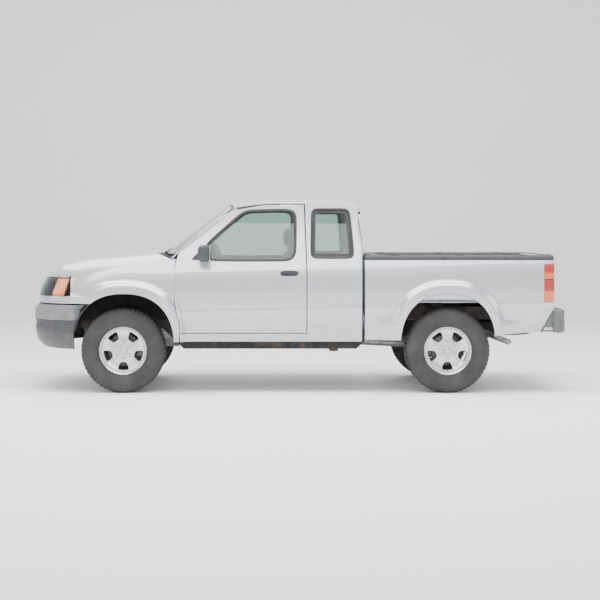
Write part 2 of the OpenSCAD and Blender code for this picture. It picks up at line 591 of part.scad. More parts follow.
// ---- Bed ----
module bed_tub() color(paint) placed() difference() {
    union() {
        span([headboard_s, -bed_inner_y, bed_floor_z - 40], [post_s - seat_gap, bed_inner_y, bed_floor_z]);
        span([post_s - 1, -gate_half, bed_floor_z - 40], [bed_rear - gate_thickness - panel_gap, gate_half, bed_floor_z]);
        span([headboard_s, -bed_inner_y, bed_floor_z - 40], [headboard_s + 40, bed_inner_y, rail_z - cap_h]);
        both() {
            span([headboard_s, -bed_inner_y, bed_floor_z - 40], [post_s - seat_gap, -bed_inner_y + bed_skin, rail_z - cap_h]);
            span([wheelbase - 400, -bed_inner_y, bed_floor_z - 40], [wheelbase + 400, -560, well_z]);
        }
        for (s = [2460, wheelbase - 30, 3620]) span([s, -540, rail_arch_z + rail_h + seat_gap], [s + 60, 540, bed_floor_z - 39]);
    }
    both() translate([wheelbase, 0, hub_z + arch_rise]) cylinder_y(well_r, -900, -580);
}
well_z = 948;
well_r = 478;
post_s = bed_rear - 90;
lamp_z = [829, 1172];
bed_low_z = [478, 541];
module bed_sides() color(paint) placed() both() {
    arch = arch_line(wheelbase, rear_arch, bed_low_z[0], bed_low_z[1] - 20, 14);
    low = concat([[bed_front, bed_low_z[0]], [2380, bed_low_z[0]]], arch, [[3600, bed_low_z[1]], [bed_rear, bed_low_z[1] + 20]]);
    n = len(low);
    difference() {
        side_panel([for (k = fender_rows) [for (i = [0 : n - 1])
            [lerp(low[i][0], lerp(bed_front, bed_rear, i / (n - 1)), k), lerp(low[i][1], rail_z - cap_h, k)]]], panel_t);
        span([post_s - seat_gap, -950, lamp_z[0] - seat_gap], [bed_rear + 1, -600, lamp_z[1] + seat_gap]);
    }
    span([post_s, -760, bed_low_z[1] + 30], [bed_rear, -gate_half - panel_gap, rail_z - cap_h]);
    for (z = [[bed_low_z[1] + 30, lamp_z[0] - seat_gap], [lamp_z[1] + seat_gap, rail_z - cap_h]])
        span([post_s, -816, z[0]], [bed_rear, -755, z[1]]);
    span([bed_front, -812, bed_low_z[0] + 30], [bed_front + 20, -700, rail_z - cap_h]);
}
module bed_rail_caps() color(plastic) placed() both()
    span([bed_front, -826, rail_z - cap_h + seat_gap], [bed_rear, -bed_inner_y + bed_skin, rail_z]);
module tail_lights() color([0.7, 0.15, 0.08]) placed() both()
    side_panel([for (z = [lamp_z[0], 1000, lamp_z[1]]) [for (s = [post_s, bed_rear + 4]) [s, z]]], 70);
gate_low_z = 800;
gate_pivot = [bed_rear - 12, gate_low_z + 6];
module tailgate() color(paint) placed() {
    span([bed_rear - gate_thickness, -gate_half, gate_low_z], [bed_rear, gate_half, rail_z]);
    both() translate([gate_pivot[0], 0, gate_pivot[1]]) cylinder_y(5, -gate_half - panel_gap + 0.5, -gate_half + 20);
}
step_z = [549, 752];
step_wall = 12;
ball_r = 9.75;
plate_hole_r = 3.5;
plate_spacing = 178;
module rear_bumper() color(plastic) placed() {
    half = [[bed_rear + 8, 850], [bed_rear + 62, 856], [bed_rear + 108, 790], [bed_rear + step_depth - 6, 640], [body_rear, 480]];
    outline = concat([for (p = half) [p[0], -p[1]]], [for (i = [len(half) - 1 : -1 : 0]) half[i]]);
    inside = [for (p = outline) [p[0] < bed_rear + 20 ? bed_rear : p[0] - step_wall, p[1] * (1 - step_wall / 850)]];
    difference() {
        translate([0, 0, step_z[0]]) linear_extrude(step_z[1] - step_z[0]) polygon(outline);
        translate([0, 0, step_z[0] - 1]) linear_extrude(step_z[1] - step_z[0] - step_wall + 1) polygon(inside);
        translate([body_rear - 60, 0, step_z[1] - 40]) cylinder(r = ball_r, h = 60);
        for (y = [-1, 1]) translate([body_rear - 40, y * plate_spacing / 2, 640]) cylinder_x(plate_hole_r, 0, 60);
    }
    both() span([rail_rear_s + seat_gap, -rail_outer_y + 6, rail_arch_z + 20], [bed_rear + 20, -rail_outer_y + 50, rail_arch_z + 90]);
    both() span([bed_rear + 12, -rail_outer_y + 6, rail_arch_z + 20], [body_rear - 8, -rail_outer_y + 20, step_z[1] - 5]);
}

// ---- Doors ----
door_window = [[760, 1210], [760, 1348], [1070, 1622], [1140, 1653], [1490, 1660], [1550, 1640], [1566, 1590], [1560, 1262], [1510, 1210]];
function door_t(z) = z < belt_z ? door_thickness : lerp(door_thickness, frame_thickness, min(1, (z - belt_z) / 50));
module door(right) color(paint) placed() on_side(right) difference() {
    zs = [door_bottom_z, 640, crease_z, 860, waist_z, 1080, belt_z, belt_z + 50, 1240, 1300, 1400, 1500, 1600, 1660, 1690, door_top_z];
    ts = steps(6);
    shell([for (z = zs) [for (t = ts) let (s = lerp(door_front_s(z), door_rear_s(z), t)) [s, -side_y(s, z), z]]],
        [for (z = zs) [for (t = ts) let (s = lerp(door_front_s(z) + (z <= belt_z ? 40 : 0), door_rear_s(z) - 12, t))
            [s, door_t(z) - side_y(s, z), z]]]);
    across(door_window, -900, -500);
}
module door_glass(right) color(glass) placed() on_side(right) intersection() {
    translate([0, 14, 0]) side_panel([for (z = [1195, 1350, 1500, 1680]) [for (s = [590, 900, 1200, 1590]) [s, z]]], glass_t);
    across([for (p = door_window) p + [p[0] < 1120 ? seat_gap : -seat_gap, p[1] < 1400 ? seat_gap : -seat_gap]], -900, -500);
}
module mirror_case(right) color(plastic) placed() on_side(right) {
    hull() for (s = [690, 770], y = [-1006, -880], z = [1205, 1335]) translate([s, y, z]) sphere(r = 20, $fn = 16);
    hull() for (s = [690, 740], z = [1215, 1250]) translate([s, -side_y(s, z) - 3.6, z]) rotate([90, 0, 0]) cylinder(r = 12, h = 70);
}

frame_rails();
engine();
gearbox();
drive_shafts();
rear_axle();
leaf_springs();
front_suspension();
exhaust();
fuel_tank();
spare_wheel();
front_bumper();
bumper_lower();
rear_bumper();
nose_panel();
grille();
headlights();
tail_lights();
front_fenders();
inner_fenders();
cowl();
cab_floor();
cab_sides();
cab_back();
roof();
windshield();
cab_glass();
dashboard();
seats();
bed_tub();
bed_sides();
bed_rail_caps();
hood();
tailgate();
steering_wheel();
door(false);  // door_left
door_glass(false);  // door_glass_left
mirror_case(false);  // mirror_left
door(true);  // door_right
door_glass(true);  // door_glass_right
mirror_case(true);  // mirror_right
knuckle(false);  // knuckle_left
knuckle(true);  // knuckle_right
color(black) wheel_at(0, false) tyre_shape();  // tyre_front_left
color(alloy) wheel_at(0, false) rim_shape([20, 44]);  // rim_front_left
color(black) wheel_at(0, true) tyre_shape();  // tyre_front_right
color(alloy) wheel_at(0, true) rim_shape([20, 44]);  // rim_front_right
color(black) wheel_at(wheelbase, false) tyre_shape();  // tyre_rear_left
color(alloy) wheel_at(wheelbase, false) rim_shape([8, 72]);  // rim_rear_left
color(black) wheel_at(wheelbase, true) tyre_shape();  // tyre_rear_right
color(alloy) wheel_at(wheelbase, true) rim_shape([8, 72]);  // rim_rear_right
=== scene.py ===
import json
import math
import random

import bmesh
import bpy
import numpy as np
from mathutils import Matrix, Vector


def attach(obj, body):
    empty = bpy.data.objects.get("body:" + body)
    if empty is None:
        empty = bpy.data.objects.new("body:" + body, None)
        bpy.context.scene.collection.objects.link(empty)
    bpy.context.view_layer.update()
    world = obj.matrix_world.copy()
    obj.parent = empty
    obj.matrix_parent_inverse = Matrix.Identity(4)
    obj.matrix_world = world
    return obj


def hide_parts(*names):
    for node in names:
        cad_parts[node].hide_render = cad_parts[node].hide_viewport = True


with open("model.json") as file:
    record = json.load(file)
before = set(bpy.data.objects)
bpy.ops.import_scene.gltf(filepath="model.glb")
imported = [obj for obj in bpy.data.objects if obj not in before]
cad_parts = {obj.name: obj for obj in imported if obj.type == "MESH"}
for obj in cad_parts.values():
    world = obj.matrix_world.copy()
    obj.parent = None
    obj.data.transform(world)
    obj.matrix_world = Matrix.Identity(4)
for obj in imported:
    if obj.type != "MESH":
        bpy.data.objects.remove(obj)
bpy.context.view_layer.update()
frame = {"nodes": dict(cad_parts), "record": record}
record = frame["record"]
random.seed(11)

# stations run rearwards from the front axle and heights up from the ground, in millimetres, as on the drawing;
# point() turns them into the row frame
frontHub = [j for j in record["behaviour"]["joints"] if j["name"] == "wheel_front_left"][0]["pos_m"]
rearHub = [j for j in record["behaviour"]["joints"] if j["name"] == "wheel_rear_left"][0]["pos_m"]
axleX = frontHub[0]
wheelbase = (frontHub[0] - rearHub[0]) * 1000
hubZ = frontHub[2] * 1000
halfTrack = frontHub[1] * 1000


def point(s, y, z, side=1):
    return (axleX - s / 1000, side * y / 1000, z / 1000)


def mix(a, b, t):
    return a + (b - a) * t


def clamp(x, low=0.0, high=1.0):
    return max(low, min(high, x))


def smooth(t):
    t = clamp(t)
    return t * t * (3 - 2 * t)


def spread(a, b, n):
    return [a + (b - a) * i / n for i in range(n + 1)]


# the body's surface
body = {
    "half": 845, "sill": 465, "waist": 978, "belt": 1141, "sillTuck": 45, "beltTuck": 12, "lean": 0.235,
        "leanCurve": 0.00008,
    "overhang": 885, "noseStart": -100, "nosePower": 3.2, "flare": 56, "archRise": 50, "archPower": 2.3,
    "doorFront": 467, "doorRear": 1667, "cabRear": 2172, "tail": 4045,
    "doorTop": 1711, "gap": 7, "panel": 22,
}
frontArch, rearArch = (10, 454, 469), (wheelbase, 428, 472)


def wedge(s):
    return 0.026 * (s - wheelbase / 2)


def sectionY(z):
    b = body
    if z < b["waist"]:
        return b["half"] - b["sillTuck"] * ((b["waist"] - z) / (b["waist"] - b["sill"])) ** 2
    if z < b["belt"]:
        return b["half"] - b["beltTuck"] * ((z - b["waist"]) / (b["belt"] - b["waist"])) ** 2
    return b["half"] - b["beltTuck"] - b["lean"] * (z - b["belt"]) - b["leanCurve"] * (z - b["belt"]) ** 2


def nosePlan(s):
    b = body
    if s > b["noseStart"]:
        return 1.0
    t = (b["noseStart"] - s) / (b["overhang"] + b["noseStart"])
    return max(0.0, 1 - t ** b["nosePower"]) ** (1 / b["nosePower"])


def faceLean(z):
    d = min(z, 1160) - 804
    return 0.0 if d < 0 else 36 + 0.138 * d + 0.00000383 * d ** 3


def archRatio(s, z, arch):
    p = body["archPower"]
    return ((abs(s - arch[0]) / arch[1]) ** p + (max(0.0, z - hubZ - body["archRise"]) / arch[2]) ** p) ** (1 / p)


def flareShare(s, z):
    r = min(archRatio(s, z, frontArch), archRatio(s, z, rearArch))
    return smooth(1 - (r - 1.15) / 0.115)


def plainY(s, z):
    return sectionY(z - wedge(s)) * nosePlan(s - faceLean(z)) + body["flare"] * flareShare(s, z)


def creaseZ(s):
    return 725 + (s - 573) * 0.0259


# the plain surface with the pressed lines along the doors and the bed
def sideY(s, z):
    keep = (1 - flareShare(s, z)) * smooth((s + 60) / 160)
    low = (z - creaseZ(s)) / 9
    ridge = 3.2 / (1 + low * low) - 2.2 * smooth((creaseZ(s) - z) / 26) * smooth((z - 560) / 60)
    high = z - 1139 - wedge(s)
    step = -2.4 * smooth((high + 5) / 9) * (1 - smooth((high - 40) / 60))
    return plainY(s, z) + keep * (ridge + step)


def archLine(arch, lowFront, lowRear, n, grow=0):
    p, base = body["archPower"], hubZ + body["archRise"]
    size = (arch[1] + grow, arch[2] + grow)
    a0 = math.asin((max(0, lowFront - base) / size[1]) ** (p / 2))
    a1 = math.pi - math.asin((max(0, lowRear - base) / size[1]) ** (p / 2))
    line = []
    for a in spread(a0, a1, n):
        c = math.cos(a)
        line.append((arch[0] - math.copysign(1, c) * size[0] * abs(c) ** (2 / p),
            base + size[1] * abs(math.sin(a)) ** (2 / p)))
    return line


def shoulderZ(s):
    return 1162 + 0.1144 * (s - 5)


def doorFront(z):
    low = body["doorFront"]
    if z >= 1281:
        return low + 49 + (z - 1281) / 0.787 + 240 * max(0.0, (z - 1600) / 111) ** 3
    extra = 38 * ((z - 1080) / 190) ** 2 if z > 1080 else 102 * ((889 - z) / 364) ** 1.8 if z < 889 else 0
    return min(low + extra, low + 49)


def doorRear(z):
    return body["doorRear"] - 20 * max(0.0, (z - body["belt"]) / (body["doorTop"] - body["belt"]))


def noseFall(d):
    t = max(0.0, 1 - d / 357)
    return 0.47 * t ** 1.4 + 0.53 * t ** 8


def edgeZ(s):
    return shoulderZ(s) - (shoulderZ(-480) - 1050) * noseFall(s + 480)


def hoodSide(s):
    return plainY(s, edgeZ(s)) - body["panel"] - body["gap"]


def nosePoint(phi, z, t=0, push=0):
    b, w = body, sectionY(z) - t
    c, q = math.cos(phi), math.sin(phi)
    s = b["noseStart"] - (b["overhang"] + b["noseStart"]) * abs(c) ** (2 / b["nosePower"]) + faceLean(z) + push + t
    return (s, math.copysign(1, q) * w * abs(q) ** (2 / b["nosePower"]), z)


def hoodFront(u):
    phi = math.asin((abs(u) * hoodSide(-480) / body["half"]) ** (body["nosePower"] / 2))
    return nosePoint(phi, 1050)[0]


def hoodRear(u):
    return 250 + 190 * u * u


def hoodLine(s):
    return 1265 - 0.094 * (244 - s)


def hoodPoint(u, v, inset=0):
    front = hoodFront(u)
    s = mix(front, hoodRear(u), v)
    top = mix(hoodLine(s), shoulderZ(s), abs(u) ** 2.4)
    topFront = mix(hoodLine(front), shoulderZ(front), abs(u) ** 2.4)
    y = u * mix(hoodSide(-480), hoodSide(300), min(1, v * 1.6))
    z = top - (topFront - 1050) * noseFall(s - front)
    bulge = 5 * smooth((0.62 - abs(u)) / 0.07) * smooth(v / 0.22) * smooth((1 - v) / 0.1)  # the raised middle
    return (s, y, z + bulge - 5 * smooth(v / 0.22) * smooth((1 - v) / 0.1) - inset)


def roofFall(s):
    return 43 * max(0.0, (1350 - s) / 375) ** 1.5 + 60 * max(0.0, (s - 2000) / 170) ** 3


def roofTop(s, u):
    return body["doorTop"] + 9 - roofFall(s) + 15 + 32 * (1 - abs(u) ** 2.6)


def screenPoint(u, v, push=0):
    top = body["doorTop"] + 11
    s = mix(350, 350 + (top - 1262) / 0.754, v) + mix(103, 38, v) * u * u + push
    return (s, u * mix(752, 648, v), mix(1262, top, v) - mix(6, 38, v) * u * u)


def quarterRear(z):
    return body["cabRear"] - 0.13 * max(0.0, z - 1282)


def cabBack(y, z, half):
    return quarterRear(z) + (53 - 0.06 * max(0.0, z - 1282)) * (1 - min(1.0, abs(y) / half) ** 4)


# meshes
def finishMesh(name, bm, material, angle=40, merge=0.00002):
    if merge:
        bmesh.ops.remove_doubles(bm, verts=bm.verts, dist=merge)
    bmesh.ops.recalc_face_normals(bm, faces=bm.faces)
    mesh = bpy.data.meshes.new(name)
    bm.to_mesh(mesh)
    bm.free()
    return wrapMesh(name, mesh, material, angle)


def wrapMesh(name, mesh, material, angle=40):
    mesh.shade_smooth()
    mesh.set_sharp_from_angle(angle=math.radians(angle))
    if material is not None:
        mesh.materials.clear()
        mesh.materials.append(material)
    made = bpy.data.objects.new(name, mesh)
    bpy.context.scene.collection.objects.link(made)
    return made


def fromLists(name, verts, faces, material, angle=40, merge=0.00002):
    bm = bmesh.new()
    made = [bm.verts.new(v) for v in verts]
    for f in faces:
        try:
            bm.faces.new([made[i] for i in f])
        except ValueError:
            pass
    return finishMesh(name, bm, material, angle, merge)


def gridFaces(rows, cols, start=0, closed=False):
    faces = []
    for r in range(rows - 1):
        for c in range(cols if closed else cols - 1):
            d = (c + 1) % cols
            faces.append((start + r * cols + c, start + r * cols + d, start + (r + 1) * cols + d,
                start + (r + 1) * cols + c))
    return faces


def rimOf(rows, cols):
    loop = [c for c in range(cols)] + [r * cols + cols - 1 for r in range(1, rows)]
    loop += [(rows - 1) * cols + c for c in range(cols - 2, -1, -1)] + [r * cols for r in range(rows - 2, 0, -1)]
    return loop


# a plate between an outer and an inner grid, with its outer edges rounded
def plate(name, outer, inner, material, radius=3, side=1, angle=50):
    a = np.array([[point(*p, side) for p in row] for row in outer], float)
    b = np.array([[point(*p, side) for p in row] for row in inner], float)
    rows, cols = a.shape[:2]
    r = radius / 1000
    flatA, flatB = a.reshape(-1, 3), b.reshape(-1, 3)
    loop = rimOf(rows, cols)
    edge = flatA[loop]
    down = flatB[loop] - edge
    down /= np.maximum(np.linalg.norm(down, axis=1), 1e-9)[:, None]
    shrunk = a.copy()
    for one, two, sel in ((0, 1, "row"), (-1, -2, "row"), (0, 1, "col"), (-1, -2, "col")):
        here, there = (shrunk[one], a[two]) if sel == "row" else (shrunk[:, one], a[:, two])
        base = a[one] if sel == "row" else a[:, one]
        d = there - base
        d /= np.maximum(np.linalg.norm(d, axis=1), 1e-9)[:, None]
        here += d * r
    top = shrunk.reshape(-1, 3)
    inwards = top[loop] - edge
    verts = [tuple(v) for v in top] + [tuple(v) for v in flatB]
    faces = gridFaces(rows, cols) + [tuple(reversed(f)) for f in gridFaces(rows, cols, len(top))]
    before = loop
    for t in (35, 65, 90):
        c, q = math.cos(math.radians(t)), math.sin(math.radians(t))
        ring = edge + inwards * (1 - q) + down * r * (1 - c)
        ids = list(range(len(verts), len(verts) + len(loop)))
        verts += [tuple(v) for v in ring]
        for i in range(len(loop)):
            j = (i + 1) % len(loop)
            faces.append((before[i], ids[i], ids[j], before[j]))
        before = ids
    last = [len(top) + i for i in loop]
    for i in range(len(loop)):
        j = (i + 1) % len(loop)
        faces.append((before[i], last[i], last[j], before[j]))
    return fromLists(name, verts, faces, material, angle)


# a solid of revolution about the row frame's Y axis, from [radius, y] pairs in millimetres
def lathe(name, profile, material, count=96, centre=(0, 0, 0), angle=40, closed=True):
    verts, n = [], len(profile)
    for i in range(count):
        a = 2 * math.pi * i / count
        for r, y in profile:
            verts.append((centre[0] + math.sin(a) * r / 1000, centre[1] + y / 1000, centre[2] + math.cos(a) * r / 1000))
    faces = []
    for i in range(count):
        j = (i + 1) % count
        for k in range(n if closed else n - 1):
            m = (k + 1) % n
            faces.append((i * n + k, i * n + m, j * n + m, j * n + k))
    return fromLists(name, verts, faces, material, angle)


# corners cut again and again, so that an outline turns smoothly
def rounded(outline, share=0.22, times=3):
    pts = [np.array(p, float) for p in outline]
    for _ in range(times):
        pts = [q for a, b in zip(pts, pts[1:] + pts[:1]) for q in (a + (b - a) * share, b - (b - a) * share)]
        share = 0.25
    return [tuple(p) for p in pts]


def evenly(outline, n):
    pts = np.array(list(outline) + [outline[0]], float)
    seg = np.linalg.norm(np.diff(pts, axis=0), axis=1)
    along = np.concatenate([[0], np.cumsum(seg)])
    return [tuple(np.array([np.interp(d, along, pts[:, k]) for k in range(pts.shape[1])])) for d in np.linspace(0,
        along[-1], n, endpoint=False)]


def grown(outline, by):
    pts = np.array(outline, float)
    area = 0.5 * np.sum(pts[:, 0] * np.roll(pts[:, 1], -1) - np.roll(pts[:, 0], -1) * pts[:, 1])
    way = np.roll(pts, -1, axis=0) - np.roll(pts, 1, axis=0)
    way /= np.maximum(np.linalg.norm(way, axis=1), 1e-9)[:, None]
    out = np.stack([way[:, 1], -way[:, 0]], axis=1) * (1 if area > 0 else -1)
    return [tuple(p) for p in pts + out * by]


# a closed strip of the given section along a loop: section is [across, up] pairs, across measured outwards from the loop
def loopStrip(name, outline, place, section, material, side=1, angle=50):
    verts, n, m = [], len(outline), len(section)
    rings = [grown(outline, across) for across, _ in section]
    for i in range(n):
        for k in range(m):
            verts.append(point(*place(rings[k][i][0], rings[k][i][1], section[k][1]), side))
    faces = []
    for i in range(n):
        j = (i + 1) % n
        for k in range(m):
            q = (k + 1) % m
            faces.append((i * m + k, j * m + k, j * m + q, i * m + q))
    return fromLists(name, verts, faces, material, angle)


# a tube of millimetre radius along row frame points, its ends closed
def tube(name, path, radius, material, sides=16, closed=False, flat=1.0, up=(0, 0, 1), angle=50):
    pts = [Vector(p) for p in path]
    verts, faces, n = [], [], len(pts)
    r = radius / 1000
    for i, p in enumerate(pts):
        a, b = (pts[i - 1] if i or closed else p), (pts[(i + 1) % n] if i < n - 1 or closed else p)
        way = (b - a).normalized()
        one = way.cross(Vector(up))
        if one.length < 0.05:
            one = way.cross(Vector((0.3, 1, 0.2)))
        one.normalize()
        two = one.cross(way).normalized()
        for k in range(sides):
            t = 2 * math.pi * k / sides
            verts.append(tuple(p + one * math.cos(t) * r + two * math.sin(t) * r * flat))
    for i in range(n if closed else n - 1):
        j = (i + 1) % n
        for k in range(sides):
            m = (k + 1) % sides
            faces.append((i * sides + k, i * sides + m, j * sides + m, j * sides + k))
    if not closed:
        faces += [tuple(range(sides)), tuple(reversed(range((n - 1) * sides, n * sides)))]
    return fromLists(name, verts, faces, material, angle)


# a box with rounded edges between two corners of the row frame
def softBox(name, low, high, radius, material, segments=3, turn=None, taper=None):
    bm = bmesh.new()
    bmesh.ops.create_cube(bm, size=1)
    low, high = Vector(low), Vector(high)
    for v in bm.verts:
        v.co = Vector(tuple(low[k] + (v.co[k] + 0.5) * (high[k] - low[k]) for k in range(3)))
        if taper:
            v.co = Vector(taper(*v.co))
    bmesh.ops.bevel(bm, geom=bm.edges[:], offset=radius, segments=segments, profile=0.5, affect="EDGES",
        clamp_overlap=True)
    if turn is not None:
        for v in bm.verts:
            v.co = turn @ v.co
    return finishMesh(name, bm, material, 35)


def prism(name, outline, fromY, toY, material, side=1, radius=0):
    bm = bmesh.new()
    low = [bm.verts.new(point(s, fromY, z, side)) for s, z in outline]
    high = [bm.verts.new(point(s, toY, z, side)) for s, z in outline]
    bm.faces.new(low)
    bm.faces.new(list(reversed(high)))
    for i in range(len(low)):
        j = (i + 1) % len(low)
        bm.faces.new((low[i], high[i], high[j], low[j]))
    bmesh.ops.recalc_face_normals(bm, faces=bm.faces)
    if radius:
        bmesh.ops.bevel(bm, geom=bm.edges[:], offset=radius / 1000, segments=3, profile=0.5, affect="EDGES",
            clamp_overlap=True)
    return finishMesh(name, bm, material, 35)


# takes the cutters away from a piece and keeps the plain mesh that is left
def cutAway(piece, cutters, angle=40):
    for cutter in cutters:
        mod = piece.modifiers.new("cut", "BOOLEAN")
        mod.operation, mod.solver, mod.object = "DIFFERENCE", "EXACT", cutter
    bpy.context.view_layer.update()
    made = bpy.data.meshes.new_from_object(piece.evaluated_get(bpy.context.evaluated_depsgraph_get()))
    piece.modifiers.clear()
    piece.data = made
    for cutter in cutters:
        bpy.data.objects.remove(cutter)
    made.shade_smooth()
    made.set_sharp_from_angle(angle=math.radians(angle))
    return piece


def joined(name, pieces, material=None):
    bm = bmesh.new()
    slots = []
    for piece in pieces:
        start = len(bm.faces)
        bm.from_mesh(piece.data)
        bm.faces.ensure_lookup_table()
        for f in bm.faces[start:]:
            mat = piece.data.materials[f.material_index] if piece.data.materials else None
            if mat not in slots:
                slots.append(mat)
            f.material_index = slots.index(mat)
    mesh = bpy.data.meshes.new(name)
    bm.to_mesh(mesh)
    bm.free()
    for mat in slots:
        mesh.materials.append(material or mat)
    for piece in pieces:
        bpy.data.objects.remove(piece)
    mesh.set_sharp_from_angle(angle=math.radians(40))
    made = bpy.data.objects.new(name, mesh)
    bpy.context.scene.collection.objects.link(made)
    return made


def keep(piece, bodyName, slotName, *nodes):
    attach(piece, bodyName)
    if nodes:
        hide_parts(*nodes)
    return piece


# shader maths
class Wire:
    def __init__(self, graph, socket):
        self.graph, self.socket = graph, socket

    def __add__(self, other):
        return self.graph.maths("ADD", self, other)

    def __radd__(self, other):
        return self.graph.maths("ADD", other, self)

    def __sub__(self, other):
        return self.graph.maths("SUBTRACT", self, other)

    def __rsub__(self, other):
        return self.graph.maths("SUBTRACT", other, self)

    def __mul__(self, other):
        return self.graph.maths("MULTIPLY", self, other)

    def __rmul__(self, other):
        return self.graph.maths("MULTIPLY", other, self)

    def __truediv__(self, other):
        return self.graph.maths("DIVIDE", self, other)

    def __rtruediv__(self, other):
        return self.graph.maths("DIVIDE", other, self)

    def __pow__(self, other):
        return self.graph.maths("POWER", self, other)

    def clamped(self):
        return self.graph.node("ShaderNodeClamp", {}, {"Value": self})


class Graph:
    def __init__(self, name):
        self.material = bpy.data.materials.new(name)
        self.material.use_nodes = True
        self.tree = self.material.node_tree
        self.tree.nodes.clear()
        self.out = self.tree.nodes.new("ShaderNodeOutputMaterial")
        self.coords = None

    def plug(self, socket, value):
        if isinstance(value, Wire):
            self.tree.links.new(value.socket, socket)
        elif isinstance(value, (tuple, list)) and len(value) == 3 and len(socket.default_value) == 4:
            socket.default_value = (*value, 1)
        else:
            socket.default_value = value

    def node(self, kind, settings=None, sockets=None, output=0):
        made = self.tree.nodes.new(kind)
        for key, value in (settings or {}).items():
            setattr(made, key, value)
        for key, value in (sockets or {}).items():
            self.plug(made.inputs[key], value)
        return Wire(self, made.outputs[output])

    def maths(self, operation, a, b=0.0):
        return self.node("ShaderNodeMath", {"operation": operation}, {0: a, 1: b})

    def place(self, scale=(1, 1, 1), move=(0, 0, 0)):
        if self.coords is None:
            self.coords = self.node("ShaderNodeTexCoord", output="Object")
        return self.node("ShaderNodeMapping", {}, {"Vector": self.coords, "Scale": scale, "Location": move})

    def noise(self, scale, detail=3.0, rough=0.5, stretch=(1, 1, 1), distortion=0.0):
        return self.node("ShaderNodeTexNoise", {}, {
            "Vector": self.place(stretch), "Scale": scale, "Detail": detail, "Roughness": rough,
                "Distortion": distortion})

    def cells(self, scale, feature="F1", stretch=(1, 1, 1)):
        return self.node("ShaderNodeTexVoronoi", {"feature": feature}, {"Vector": self.place(stretch), "Scale": scale})

    def ramp(self, value, low, high, toLow=0.0, toHigh=1.0):
        return self.node("ShaderNodeMapRange", {"interpolation_type": "SMOOTHSTEP"}, {
            "Value": value, "From Min": low, "From Max": high, "To Min": toLow, "To Max": toHigh})

    def height(self):
        return self.node("ShaderNodeSeparateXYZ", {}, {0: self.place()}, "Z")

    def tint(self, factor, a, b):
        made = self.tree.nodes.new("ShaderNodeMix")
        made.data_type = "RGBA"
        self.plug(made.inputs[0], factor)
        self.plug(made.inputs[6], a)
        self.plug(made.inputs[7], b)
        return Wire(self, made.outputs[2])

    def bump(self, height, distance, strength=1.0):
        return self.node("ShaderNodeBump", {}, {"Height": height, "Distance": distance, "Strength": strength})

    def surface(self, **sockets):
        shader = self.node("ShaderNodeBsdfPrincipled", {}, {key.replace("_", " "): value for key,
            value in sockets.items()})
        self.tree.links.new(shader.socket, self.out.inputs["Surface"])
        return self.material


def makePaint():
    g = Graph("silverPaint")
    flakes = g.ramp(g.cells(2600.0), 0.15, 0.75)
    peel = g.noise(260.0, 2.0)
    patches = g.noise(2.2, 3.0)
    dust = g.ramp(g.height() + g.noise(9.0, 4.0) * 0.16, 0.86, 0.46) * (0.35 + 0.4 * g.noise(60.0, 4.0))
    clean = g.tint(flakes * 0.35, (0.50, 0.52, 0.545), (0.66, 0.68, 0.70))
    shade = g.tint(g.ramp(patches, 0.3, 0.7) * 0.12, clean, (0.46, 0.48, 0.50))
    return g.surface(Base_Color=g.tint(dust * 0.55, shade, (0.30, 0.285, 0.26)), Metallic=0.62,
        Roughness=0.24 + dust * 0.4 + flakes * 0.05,
                     Coat_Weight=0.9 * (1 - dust), Coat_Roughness=0.04, Normal=g.bump(peel, 0.0002, 0.25))


def makePlastic(name, low, high, rough=0.55, grain=900.0, deep=0.0006, dusty=0.0):
    g = Graph(name)
    pebble = g.cells(grain)
    patches = g.noise(14.0, 4.0)
    base = g.tint(g.ramp(patches, 0.25, 0.75), low, high)
    if dusty:
        dust = g.ramp(g.height() + g.noise(12.0, 4.0) * 0.2, 0.75, 0.40) * dusty
        base = g.tint(dust * g.noise(45.0, 4.0), base, (0.32, 0.29, 0.25))
    return g.surface(Base_Color=base, Roughness=rough + 0.12 * patches - 0.06,
        Normal=g.bump(pebble + 0.4 * g.noise(grain * 0.6), deep, 0.5))


def makeGlass(name, tint, film=0.04, reflect=1.0):
    g = Graph(name)
    clear = g.node("ShaderNodeBsdfTransparent", {}, {"Color": tint})
    shine = g.node("ShaderNodeBsdfGlossy", {}, {"Color": (0.95, 0.98, 0.97), "Roughness": 0.015})
    haze = g.node("ShaderNodeBsdfDiffuse", {}, {"Color": (0.62, 0.66, 0.63)})
    fresnel = g.node("ShaderNodeFresnel", {}, {"IOR": 1.5})
    pane = g.node("ShaderNodeMixShader", {}, {0: (fresnel * reflect).clamped(), 1: clear, 2: shine})
    smear = g.ramp(g.noise(7.0, 5.0, 0.6), 0.35, 0.8) * film
    whole = g.node("ShaderNodeMixShader", {}, {0: smear, 1: pane, 2: haze})
    g.tree.links.new(whole.socket, g.out.inputs["Surface"])
    return g.material


def makeMetal(name, low, high, rough=0.3, metallic=1.0, scale=40.0, grain=0.0002, stretch=(1, 1, 1), dirt=0.0):
    g = Graph(name)
    patches = g.noise(scale, 4.0, 0.6, stretch)
    fine = g.noise(scale * 22, 2.0, 0.5, stretch)
    base = g.tint(g.ramp(patches, 0.3, 0.7), low, high)
    spots = g.ramp(g.noise(scale * 0.4, 5.0, 0.65), 0.5, 0.68) * dirt
    return g.surface(Base_Color=g.tint(spots, base, (0.20, 0.13, 0.085)), Metallic=metallic * (1 - spots),
        Roughness=(rough + 0.14 * patches - 0.07 + 0.3 * spots).clamped(),
                     Normal=g.bump(fine, grain, 0.4))


